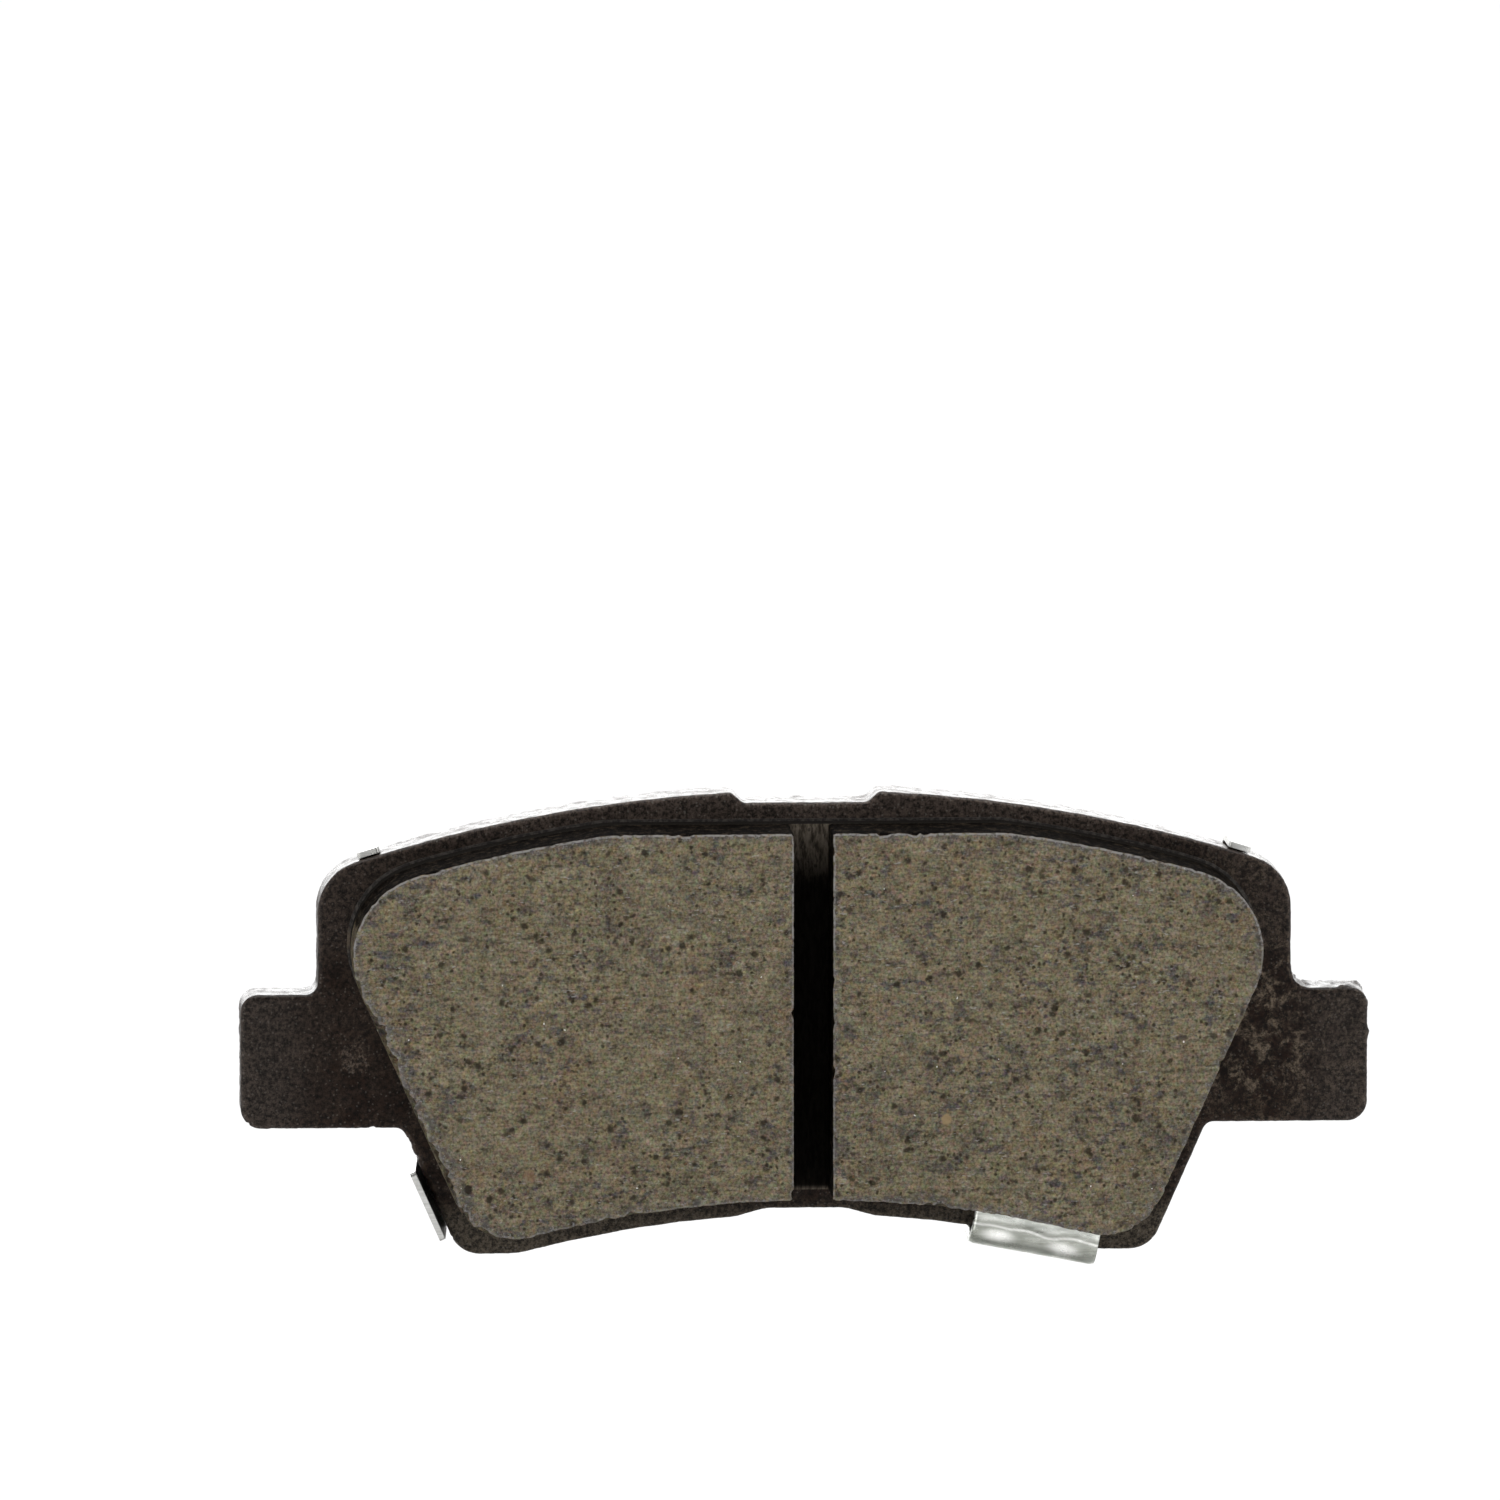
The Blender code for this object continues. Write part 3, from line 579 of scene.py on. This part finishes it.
class Surface:
    """One procedural material: makes nodes, and keeps their links short to write."""

    def __init__(self, name, roughness=0.5, metallic=0.0, ior=1.45):
        self.material = bpy.data.materials.new(name)
        self.material.use_nodes = True
        self.tree = self.material.node_tree
        self.shader = self.tree.nodes["Principled BSDF"]
        self.shader.inputs["Roughness"].default_value = roughness
        self.shader.inputs["Metallic"].default_value = metallic
        self.shader.inputs["IOR"].default_value = ior
        self.place = self.tree.nodes.new("ShaderNodeTexCoord").outputs["Object"]

    def node(self, kind, settings=None, **inputs):
        made = self.tree.nodes.new(kind)
        for key, value in (settings or {}).items():
            setattr(made, key, value)
        for key, value in inputs.items():
            socket = made.inputs[key.replace("_", " ")]
            if isinstance(value, bpy.types.NodeSocket):
                self.tree.links.new(value, socket)
            else:
                socket.default_value = value
        return made

    def put(self, name, value):
        self.tree.links.new(value, self.shader.inputs[name])

    def stretched(self, x=1.0, y=1.0, z=1.0, shift=0.0):
        """Object coordinates in millimetres, times these."""
        scale = (x / MM, y / MM, z / MM)
        made = self.node("ShaderNodeMapping", Vector=self.place, Scale=scale, Location=(shift,) * 3)
        return made.outputs["Vector"]

    def noise(self, scale, detail=3.0, rough=0.55, where=None, distort=0.0):
        where = where or self.stretched()
        made = self.node("ShaderNodeTexNoise", Vector=where, Scale=scale, Detail=detail)
        made.inputs["Roughness"].default_value = rough
        made.inputs["Distortion"].default_value = distort
        return made.outputs["Fac"]

    def tints(self, scale):
        """Random colours round middle grey."""
        where = self.stretched(shift=91.0)
        return self.node("ShaderNodeTexNoise", Vector=where, Scale=scale, Detail=3.0).outputs["Color"]

    def specks(self, scale, share, size, soft=0.35, shift=0.0, crowd=None):
        """1 on scattered grains: about a share of cells holds one, up to size of a cell in radius."""
        where = self.stretched(shift=shift)
        wobble = self.node("ShaderNodeTexNoise", Vector=where, Scale=scale * 1.7, Detail=2.0)
        pushed = self.node("ShaderNodeVectorMath", {"operation": "MULTIPLY_ADD"})
        self.tree.links.new(wobble.outputs["Color"], pushed.inputs[0])
        pushed.inputs[1].default_value = (0.45 / scale,) * 3
        self.tree.links.new(where, pushed.inputs[2])
        cells = self.node("ShaderNodeTexVoronoi", Vector=pushed.outputs["Vector"], Scale=scale)
        parts = self.node("ShaderNodeSeparateColor", Color=cells.outputs["Color"])
        own_size = self.ramp(parts.outputs["Green"], 0.0, 1.0, 0.45, 1.0)
        distance = self.math("DIVIDE", cells.outputs["Distance"], own_size)
        near = self.ramp(distance, size * (1 - soft), size, 1.0, 0.0)
        draw = parts.outputs["Red"]
        if crowd is not None:
            draw = self.math("DIVIDE", draw, self.ramp(crowd, 0.0, 1.0, 0.45, 1.7))
        chosen = self.ramp(draw, share - 0.02, share + 0.02, 1.0, 0.0)
        return self.math("MULTIPLY", near, chosen)

    def spot(self, x, z, radius, ragged=0.5):
        """1 in a ragged patch of this radius in millimetres round a place on the pad's front."""
        scale = (1 / (radius * MM), 0.0, 1 / (radius * MM))
        shift = (-x / radius, 0.0, -z / radius)
        moved = self.node("ShaderNodeMapping", Vector=self.place, Scale=scale, Location=shift)
        length = self.node("ShaderNodeVectorMath", {"operation": "LENGTH"}, Vector=moved.outputs["Vector"])
        wobble = self.math("MULTIPLY", self.noise(1.4 / radius, 3.0, 0.6), 2 * ragged)
        away = self.math("ADD", length.outputs["Value"], wobble)
        return self.ramp(away, 1.1 + ragged, 0.7 + ragged)

    def ramp(self, value, from_low, from_high, to_low=0.0, to_high=1.0):
        made = self.node("ShaderNodeMapRange", Value=value)
        made.interpolation_type = "SMOOTHSTEP"
        made.inputs["From Min"].default_value = from_low
        made.inputs["From Max"].default_value = from_high
        made.inputs["To Min"].default_value = to_low
        made.inputs["To Max"].default_value = to_high
        return made.outputs["Result"]

    def math(self, operation, a, b):
        made = self.node("ShaderNodeMath", {"operation": operation})
        for socket, value in zip(made.inputs, (a, b)):
            if isinstance(value, bpy.types.NodeSocket):
                self.tree.links.new(value, socket)
            else:
                socket.default_value = value
        return made.outputs["Value"]

    def mix(self, factor, a, b, blend="MIX"):
        made = self.node("ShaderNodeMix", {"data_type": "RGBA", "blend_type": blend})
        for index, value in ((0, factor), (6, a), (7, b)):
            socket = made.inputs[index]
            if isinstance(value, bpy.types.NodeSocket):
                self.tree.links.new(value, socket)
            elif index:
                socket.default_value = (*value, 1.0)
            else:
                socket.default_value = value
        return made.outputs[2]

    def attribute(self, name):
        return self.node("ShaderNodeAttribute", {"attribute_name": name}).outputs["Fac"]

    def normal_part(self, axis):
        normal = self.node("ShaderNodeNewGeometry").outputs["Normal"]
        return self.node("ShaderNodeSeparateXYZ", Vector=normal).outputs[axis]

    def place_part(self, axis):
        return self.node("ShaderNodeSeparateXYZ", Vector=self.stretched()).outputs[axis]

    def bump(self, height, depth):
        """Raises the surface by up to depth metres where height is 1."""
        made = self.node("ShaderNodeBump", Height=height, Distance=depth)
        if self.shader.inputs["Normal"].links:
            self.tree.links.new(self.shader.inputs["Normal"].links[0].from_socket, made.inputs["Normal"])
        self.put("Normal", made.outputs["Normal"])


def make_friction():
    """Olive-brown ground lining: clouded body, sanding streaks, grit, fibres, stains and a grey rim."""
    s = Surface("ground_friction", ior=1.08)
    body = s.noise(0.6, 6.0, 0.72)
    colour = s.mix(s.ramp(body, 0.33, 0.50), LINING_SHADE, LINING_BODY)
    colour = s.mix(s.ramp(body, 0.50, 0.68), colour, LINING_PALE)
    warm = s.ramp(s.noise(0.3, 4.0, 0.6, s.stretched(shift=31.0)), 0.48, 0.70)
    colour = s.mix(s.math("MULTIPLY", warm, 0.35), colour, LINING_WARM)
    clusters = s.ramp(s.noise(0.13, 3.0, 0.6, s.stretched(shift=71.0)), 0.38, 0.58)
    smudge = s.ramp(s.noise(0.85, 5.0, 0.7, s.stretched(0.7, 1.0, 1.2, shift=57.0)), 0.51, 0.63)
    smudge = s.math("MULTIPLY", smudge, s.ramp(clusters, 0.0, 1.0, 0.35, 1.0))
    colour = s.mix(s.math("MULTIPLY", smudge, 0.85), colour, SMUDGE)
    streaks = s.noise(1.3, 4.0, 0.65, s.stretched(0.42, 1.0, 3.2))
    shade = s.mix(s.ramp(streaks, 0.33, 0.67), (0.64, 0.63, 0.63), (1.28, 1.28, 1.28))
    colour = s.mix(0.55, colour, shade, "MULTIPLY")
    grain = s.noise(4.2, 4.0, 0.8)
    shade = s.mix(s.ramp(grain, 0.32, 0.68), (0.45, 0.44, 0.44), (1.50, 1.50, 1.50))
    colour = s.mix(0.9, colour, shade, "MULTIPLY")
    colour = s.mix(0.42, colour, s.tints(2.6), "OVERLAY")
    dark = s.specks(0.95, 0.30, 0.42, 0.65, shift=3.0, crowd=clusters)
    fine = s.specks(1.9, 0.34, 0.42, 0.65, shift=11.0, crowd=clusters)
    blur = s.ramp(s.noise(1.5, 2.0, 0.5, s.stretched(0.8, 1.0, 1.3, shift=5.0)), 0.58, 0.74)
    colour = s.mix(s.math("MULTIPLY", blur, 0.75), colour, PORE)
    colour = s.mix(s.math("MULTIPLY", fine, 0.85), colour, FINE_GRIT)
    colour = s.mix(s.math("MULTIPLY", dark, 0.85), colour, COARSE_GRIT)
    pale = s.ramp(s.noise(2.4, 3.0, 0.6, s.stretched(0.6, 1.0, 1.6, shift=19.0)), 0.62, 0.74)
    colour = s.mix(s.math("MULTIPLY", pale, 0.65), colour, PALE_FIBRE)
    rust = s.ramp(s.noise(1.7, 2.0, 0.5, s.stretched(shift=43.0)), 0.65, 0.73)
    colour = s.mix(s.math("MULTIPLY", rust, 0.45), colour, RUST)
    colour = s.mix(s.math("MULTIPLY", s.spot(*TAN_GRAIN_SPOT), 0.8), colour, TAN_GRAIN)
    colour = s.mix(s.math("MULTIPLY", s.spot(*BLACK_GRAIN_SPOT), 0.9), colour, BLACK_GRAIN)
    colour = s.mix(s.math("MULTIPLY", s.spot(*RUSTY_GRAIN_SPOT), 0.5), colour, RUSTY_GRAIN)
    # Metal flecks, with their glint painted into the colour as near-white specks.
    fleck_glint = s.specks(1.1, 0.06, 0.13, shift=27.0)
    colour = s.mix(s.math("MULTIPLY", fleck_glint, 0.8), colour, METAL_FLECK_GLINT)
    rim = s.attribute("rim")
    worn = s.math("MULTIPLY", rim, s.ramp(s.noise(1.6, 3.0, 0.6), 0.40, 0.60))
    colour = s.mix(s.math("MULTIPLY", worn, 0.8), colour, WORN_RIM)
    # Pale edge of the rim with a painted highlight, strongest along the top edge and faint elsewhere.
    lip_and_highlight = s.math("MULTIPLY", s.ramp(rim, 0.93, 1.0), s.ramp(s.noise(2.2, 3.0, 0.6), 0.36, 0.56))
    top_edge_highlight = s.ramp(s.place_part("Z"), 7.0, 13.0, 0.0, 0.85)
    elsewhere = s.ramp(s.place_part("X"), 15.0, 30.0, 0.32, 0.10)
    lip_and_highlight = s.math("MULTIPLY", lip_and_highlight, s.math("MAXIMUM", top_edge_highlight, elsewhere))
    colour = s.mix(lip_and_highlight, colour, PALE_LIP_AND_HIGHLIGHT)
    crumbs = s.math("MULTIPLY", rim, s.ramp(s.noise(3.6, 3.0, 0.7, s.stretched(shift=61.0)), 0.52, 0.66))
    colour = s.mix(s.math("MULTIPLY", crumbs, 0.7), colour, CRUMB)
    flecks = s.ramp(s.noise(1.3, 4.0, 0.8, s.stretched(shift=83.0)), 0.50, 0.64)
    paint = s.mix(flecks, WALL_PAINT, WALL_PAINT_FLECK)
    # The paint attribute is black paint on the walls and painted shade on the slot's walls.
    painted = s.attribute("paint")
    colour = s.mix(painted, colour, paint)
    s.put("Base Color", colour)
    s.put("Roughness", s.ramp(fleck_glint, 0.0, 1.0, 0.95, 0.35))
    s.put("Specular IOR Level", s.ramp(painted, 0.0, 1.0, 0.5, 0.3))
    s.bump(streaks, 0.06 * MM)
    s.bump(grain, 0.09 * MM)
    s.bump(s.math("MULTIPLY", dark, -1.0), 0.10 * MM)
    s.bump(s.math("MULTIPLY", fine, -1.0), 0.05 * MM)
    return s.material


def make_paint():
    """Thin black paint over steel: brownish and darkest by the lining as painted shade, lightened as
    painted light towards the ears' tips, higher up and along its top and bottom bands; dusty on top, with
    resin on the right ear.
    """
    s = Surface("black_stoving_paint", ior=1.2)
    mottle = s.noise(0.22, 5.0, 0.7)
    colour = s.mix(s.ramp(mottle, 0.36, 0.64), PAINT_BROWN, PAINT_BLACK)
    along, height = s.place_part("X"), s.place_part("Z")
    outer = s.math("ABSOLUTE", along, 0.0)
    # Painted shade and light: the paint stays darkest by the lining and is lightened towards the ears'
    # tips, higher up and along the top and bottom bands.
    colour = s.mix(s.ramp(outer, 41.0, 48.0), colour, PAINTED_LIGHT_AT_TIPS)
    colour = s.mix(s.ramp(height, 7.0, 12.0), colour, PAINTED_LIGHT_HIGH_UP)
    top_band = s.ramp(height, 18.5, 21.0)
    colour = s.mix(top_band, colour, PAINTED_LIGHT_TOP_BAND)
    colour = s.mix(s.ramp(height, -12.0, -14.5), colour, PAINTED_LIGHT_BOTTOM_BAND)
    right_ear = s.ramp(along, 47.0, 41.5, 0.25, 1.0)
    right_ear = s.math("MULTIPLY", s.ramp(along, 31.5, 35.5), right_ear)
    on_ear = s.math("MULTIPLY", s.ramp(height, 11.0, 6.5, 0.3, 1.0), s.ramp(height, -4.5, -2.0, 0.3, 1.0))
    right_ear = s.math("MULTIPLY", right_ear, on_ear)
    blotch = s.noise(0.72, 6.0, 0.76, distort=0.5)
    residue = s.math("MULTIPLY", right_ear, s.ramp(blotch, 0.48, 0.60))
    colour = s.mix(s.math("MULTIPLY", residue, 0.85), colour, RESIN_RESIDUE)
    hollow = s.math("MULTIPLY", right_ear, s.ramp(blotch, 0.49, 0.39))
    colour = s.mix(s.math("MULTIPLY", hollow, 0.95), colour, PAINT_HOLLOW)
    smear = s.ramp(s.noise(0.5, 5.0, 0.75, s.stretched(shift=13.0), distort=0.8), 0.58, 0.70)
    colour = s.mix(s.math("MULTIPLY", smear, 0.35), colour, PAINT_SMEAR)
    scuffed = s.spot(*SCUFF_SPOT, SCUFF_RAGGED)
    scuff = s.math("MULTIPLY", scuffed, s.ramp(s.noise(2.2, 4.0, 0.7), 0.42, 0.58))
    colour = s.mix(s.math("MULTIPLY", scuff, 0.7), colour, PAINT_SCUFF)
    fine = s.noise(3.4, 4.0, 0.75)
    shade = s.mix(s.ramp(fine, 0.34, 0.68), (0.12, 0.12, 0.12), (2.9, 2.9, 2.9))
    colour = s.mix(0.9, colour, shade, "MULTIPLY")
    dust = s.specks(2.8, 0.42, 0.36, shift=5.0)
    dust = s.math("MULTIPLY", dust, s.ramp(top_band, 0.0, 1.0, 0.26, 0.5))
    colour = s.mix(dust, colour, DUST)
    wall = s.attribute("wall")
    scale_marks = s.ramp(s.noise(1.4, 4.0, 0.7, s.stretched(1.0, 0.35, 1.0)), 0.45, 0.66)
    scale_marks = s.math("MULTIPLY", wall, scale_marks)
    colour = s.mix(s.math("MULTIPLY", scale_marks, 0.5), colour, WALL_SCALE)
    s.put("Base Color", colour)
    up = s.ramp(s.normal_part("Z"), 0.1, 0.5)
    rough = s.ramp(s.noise(0.8, 3.0, 0.6), 0.3, 0.7, 0.42, 0.62)
    s.put("Roughness", s.math("SUBTRACT", rough, s.math("MULTIPLY", up, 0.30)))
    s.bump(s.noise(1.1, 3.0, 0.55), 0.04 * MM)
    s.bump(fine, 0.03 * MM)
    s.bump(residue, 0.06 * MM)
    return s.material


def make_bond():
    """Cured resin squeezed out between plate and lining."""
    s = Surface("phenolic_flash", roughness=0.7)
    broken = s.ramp(s.noise(2.2, 4.0, 0.7), 0.42, 0.60)
    colour = s.mix(broken, RESIN_DARK, RESIN_GREY)
    tan = s.specks(0.35, 0.08, 0.5, shift=9.0)
    colour = s.mix(s.math("MULTIPLY", tan, 0.3), colour, RESIN_TAN)
    s.put("Base Color", colour)
    s.bump(s.noise(3.0, 3.0), 0.04 * MM)
    return s.material


def make_underlayer():
    """Coarse fibrous layer, with painted shade along the slot's floor, and painted over at its sides."""
    s = Surface("moulded_underlayer", roughness=0.9, ior=1.1)
    fibres = s.noise(1.0, 4.0, 0.7, s.stretched(3.2, 1.5, 0.8))
    colour = s.mix(s.ramp(fibres, 0.35, 0.65), UNDERLAYER_DARK, UNDERLAYER_FIBRE)
    speck = s.specks(1.8, 0.25, 0.35, shift=2.0)
    colour = s.mix(s.math("MULTIPLY", speck, 0.7), colour, UNDERLAYER_SPECK)
    height = s.place_part("Z")
    # Painted shade along the slot's floor, lighter only near its open top and bottom ends.
    slot_floor_shade = s.math("MULTIPLY", s.ramp(height, 20.5, 15.5), s.ramp(height, -11.6, -10.9))
    colour = s.mix(s.math("MULTIPLY", slot_floor_shade, 0.96), colour, SLOT_FLOOR_SHADE)
    sides = s.ramp(s.normal_part("Y"), -0.8, -0.5)
    colour = s.mix(sides, colour, UNDERLAYER_PAINT)
    s.put("Base Color", colour)
    s.bump(fibres, 0.09 * MM)
    return s.material


def make_zinc():
    """Bright zinc; the foot's bent sheet has a painted highlight in its two dents and along its crease, and
    painted shade round and below the crease.
    """
    s = Surface("bright_zinc", metallic=1.0)
    drawn = s.noise(0.35, 4.0, 0.55, s.stretched(0.6, 1.0, 2.0), distort=0.8)
    colour = s.mix(s.ramp(drawn, 0.36, 0.64), ZINC_GREY, ZINC_BRIGHT)
    streak = s.noise(1.0, 4.0, 0.6, s.stretched(0.35, 1.0, 2.6, shift=15.0), distort=0.5)
    colour = s.mix(s.math("MULTIPLY", s.ramp(streak, 0.44, 0.34), 0.6), colour, ZINC_STREAK)
    # Painted shade on the foot round and below its crease, then a painted highlight in its dents and along
    # the crease.
    painted_shade = s.math("MULTIPLY", s.attribute("painted_shade"), s.ramp(streak, 0.36, 0.62, 1.0, 0.72))
    colour = s.mix(painted_shade, colour, ZINC_PAINTED_SHADE)
    colour = s.mix(s.attribute("painted_highlights"), colour, ZINC_PAINTED_HIGHLIGHT)
    s.put("Base Color", colour)
    s.put("Roughness", s.ramp(s.noise(0.9, 4.0, 0.6, s.stretched(0.8, 1.0, 2.0)), 0.3, 0.7, 0.22, 0.40))
    s.bump(s.noise(0.45, 2.0, 0.5, s.stretched(0.8, 1.0, 1.8)), 0.06 * MM)
    s.bump(s.noise(7.0, 2.0), 0.006 * MM)
    return s.material


def make_stainless():
    """Bright rolled sheet with fine lengthwise lines and faint stains."""
    s = Surface("rolled_stainless", metallic=0.9)
    rolled = s.noise(1.0, 4.0, 0.7, s.stretched(0.12, 1.0, 9.0))
    colour = s.mix(s.ramp(rolled, 0.3, 0.7), STAINLESS_GREY, STAINLESS_BRIGHT)
    stain = s.ramp(s.noise(0.12, 4.0, 0.6), 0.52, 0.7)
    colour = s.mix(s.math("MULTIPLY", stain, 0.3), colour, STAINLESS_STAIN)
    s.put("Base Color", colour)
    s.put("Roughness", s.ramp(s.noise(0.35, 4.0, 0.65), 0.3, 0.7, 0.24, 0.42))
    s.bump(rolled, 0.006 * MM)
    s.bump(s.noise(0.09, 2.0), 0.25 * MM)
    return s.material


def make_core_steel():
    """Bare steel between the shim's two rubber skins."""
    s = Surface("cold_rolled_core", roughness=0.42, metallic=1.0)
    rolled = s.noise(1.0, 3.0, 0.7, s.stretched(0.2, 1.0, 7.0))
    s.put("Base Color", s.mix(s.ramp(rolled, 0.3, 0.7), CORE_GREY, CORE_BRIGHT))
    s.bump(rolled, 0.006 * MM)
    return s.material


def make_rubber():
    """Matt black skin with a faint bloom."""
    s = Surface("shim_rubber")
    fine = s.noise(5.0, 3.0, 0.7)
    colour = s.mix(s.ramp(fine, 0.3, 0.7), RUBBER_BLACK, RUBBER_GREY)
    bloom = s.ramp(s.noise(0.3, 4.0, 0.65), 0.5, 0.7)
    s.put("Base Color", s.mix(s.math("MULTIPLY", bloom, 0.4), colour, RUBBER_BLOOM))
    s.put("Roughness", s.ramp(fine, 0.3, 0.7, 0.62, 0.85))
    s.bump(fine, 0.02 * MM)
    return s.material


def dress(obj, material):
    """Gives a piece its material; a piece that is no CAD node rides on the root body."""
    obj.data.materials.clear()
    obj.data.materials.append(material)
    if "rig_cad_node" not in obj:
        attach(obj, "root")


# ---- stage ----


def make_floor(height):
    """Plain pale floor, near white to the camera and an ordinary matt surface for the light."""
    bm = bmesh.new()
    bmesh.ops.create_grid(bm, x_segments=8, y_segments=8, size=FLOOR_HALF_SIZE)
    mesh = bpy.data.meshes.new("studio_floor")
    bm.to_mesh(mesh)
    bm.free()
    floor = bpy.data.objects.new("studio_floor", mesh)
    bpy.context.scene.collection.objects.link(floor)
    floor.location.z = height
    s = Surface("pale_floor", roughness=0.9)
    s.shader.inputs["Base Color"].default_value = FLOOR_COLOUR
    glow = s.node("ShaderNodeEmission", Color=WHITE, Strength=FLOOR_GLOW)
    seen = s.node("ShaderNodeLightPath").outputs["Is Camera Ray"]
    to_camera = s.math("MULTIPLY", seen, FLOOR_GLOW_SHARE)
    blend = s.node("ShaderNodeMixShader", Fac=to_camera)
    s.tree.links.new(s.shader.outputs["BSDF"], blend.inputs[1])
    s.tree.links.new(glow.outputs["Emission"], blend.inputs[2])
    s.tree.links.new(blend.outputs["Shader"], s.tree.nodes["Material Output"].inputs["Surface"])
    floor.data.materials.append(s.material)


def make_softbox(name, place, size, power):
    """A rectangular lamp facing the pad."""
    light = bpy.data.lights.new(name, "AREA")
    light.shape = "RECTANGLE"
    light.size, light.size_y = size
    light.energy = power
    lamp = bpy.data.objects.new(name, light)
    bpy.context.scene.collection.objects.link(lamp)
    lamp.location = place
    lamp.rotation_mode = "QUATERNION"
    lamp.rotation_quaternion = (-Vector(place)).to_track_quat("-Z", "Y")
    lamp.visible_camera = False


def make_world():
    """White for the camera; as light it is bright behind the pad and dim on the disc side."""
    world = bpy.data.worlds.new("studio")
    bpy.context.scene.world = world
    world.use_nodes = True
    tree = world.node_tree
    background = tree.nodes["Background"]
    direction = tree.nodes.new("ShaderNodeTexCoord").outputs["Generated"]
    parts = tree.nodes.new("ShaderNodeSeparateXYZ")
    tree.links.new(direction, parts.inputs["Vector"])
    ramp = tree.nodes.new("ShaderNodeValToRGB")
    for element, (position, grey) in zip(ramp.color_ramp.elements, WORLD_ENDS):
        element.position = position
        element.color = (grey, grey, grey, 1.0)
    for position, grey in WORLD_BETWEEN:
        ramp.color_ramp.elements.new(position).color = (grey, grey, grey * WORLD_BLUE, 1.0)
    share = tree.nodes.new("ShaderNodeMapRange")
    share.inputs["From Min"].default_value = -1.0
    tree.links.new(parts.outputs["Y"], share.inputs["Value"])
    tree.links.new(share.outputs["Result"], ramp.inputs["Fac"])
    seen = tree.nodes.new("ShaderNodeBackground")
    path = tree.nodes.new("ShaderNodeLightPath")
    mix = tree.nodes.new("ShaderNodeMixShader")
    tree.links.new(ramp.outputs["Color"], background.inputs["Color"])
    background.inputs["Strength"].default_value = WORLD_STRENGTH
    seen.inputs["Color"].default_value = WHITE
    tree.links.new(path.outputs["Is Camera Ray"], mix.inputs["Fac"])
    tree.links.new(background.outputs["Background"], mix.inputs[1])
    tree.links.new(seen.outputs["Background"], mix.inputs[2])
    tree.links.new(mix.outputs["Shader"], tree.nodes["World Output"].inputs["Surface"])


def make_camera(plate_face_y):
    """A long lens from slightly above and left, aimed off the pad so that it sits low in the frame."""
    camera = bpy.data.cameras.new("camera")
    camera.sensor_width = SENSOR_WIDTH
    camera.lens = SENSOR_WIDTH * CAMERA_DISTANCE / CAMERA_VIEW_WIDTH
    a, e = CAMERA_AZIMUTH, CAMERA_ELEVATION
    ahead = Vector((-math.sin(a) * math.cos(e), math.cos(a) * math.cos(e), -math.sin(e)))
    right = Vector((math.cos(a), math.sin(a), 0.0))
    up = right.cross(ahead)
    right_by, up_by = CAMERA_AIM
    away = ahead * CAMERA_DISTANCE - right * right_by - up * up_by
    obj = bpy.data.objects.new("camera", camera)
    obj.location = Vector((0.0, plate_face_y, 0.0)) - away
    turn = Matrix((right, up, -ahead)).transposed()
    obj.rotation_mode = "QUATERNION"
    obj.rotation_quaternion = turn.to_quaternion()
    camera.clip_start, camera.clip_end = CAMERA_CLIP
    bpy.context.scene.collection.objects.link(obj)
    bpy.context.scene.camera = obj


def main():
    friction = make_friction()
    for node in ("friction_block_left", "friction_block_right"):
        dress(make_friction_block(node), friction)
    paint = make_paint()
    plate, back_y = make_plate()
    dress(plate, paint)
    for side, word in ((-1, "left"), (1, "right")):
        dress(make_pip(f"shim_pip_{word}", side * PIP_X, PIP_Z, back_y), paint)
    zinc = make_zinc()
    dress(make_wear_indicator(), zinc)
    rubber = make_rubber()
    nodes = frame["nodes"]
    dress(nodes["wear_indicator_rivet"], zinc)
    dress(nodes["bond_film"], make_bond())
    dress(nodes["underlayer"], make_underlayer())
    dress(nodes["damping_shim_front_rubber"], rubber)
    dress(nodes["damping_shim_back_rubber"], rubber)
    dress(nodes["damping_shim_steel_core"], make_core_steel())
    dress(nodes["outer_shim"], make_stainless())

    make_floor(CAD_BOX[0].z - FLOOR_DROP)
    for softbox in SOFTBOXES:
        make_softbox(*softbox)
    make_world()
    make_camera(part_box("backing_plate")[0].y)
    bpy.context.scene.view_settings.view_transform = "Standard"


main()
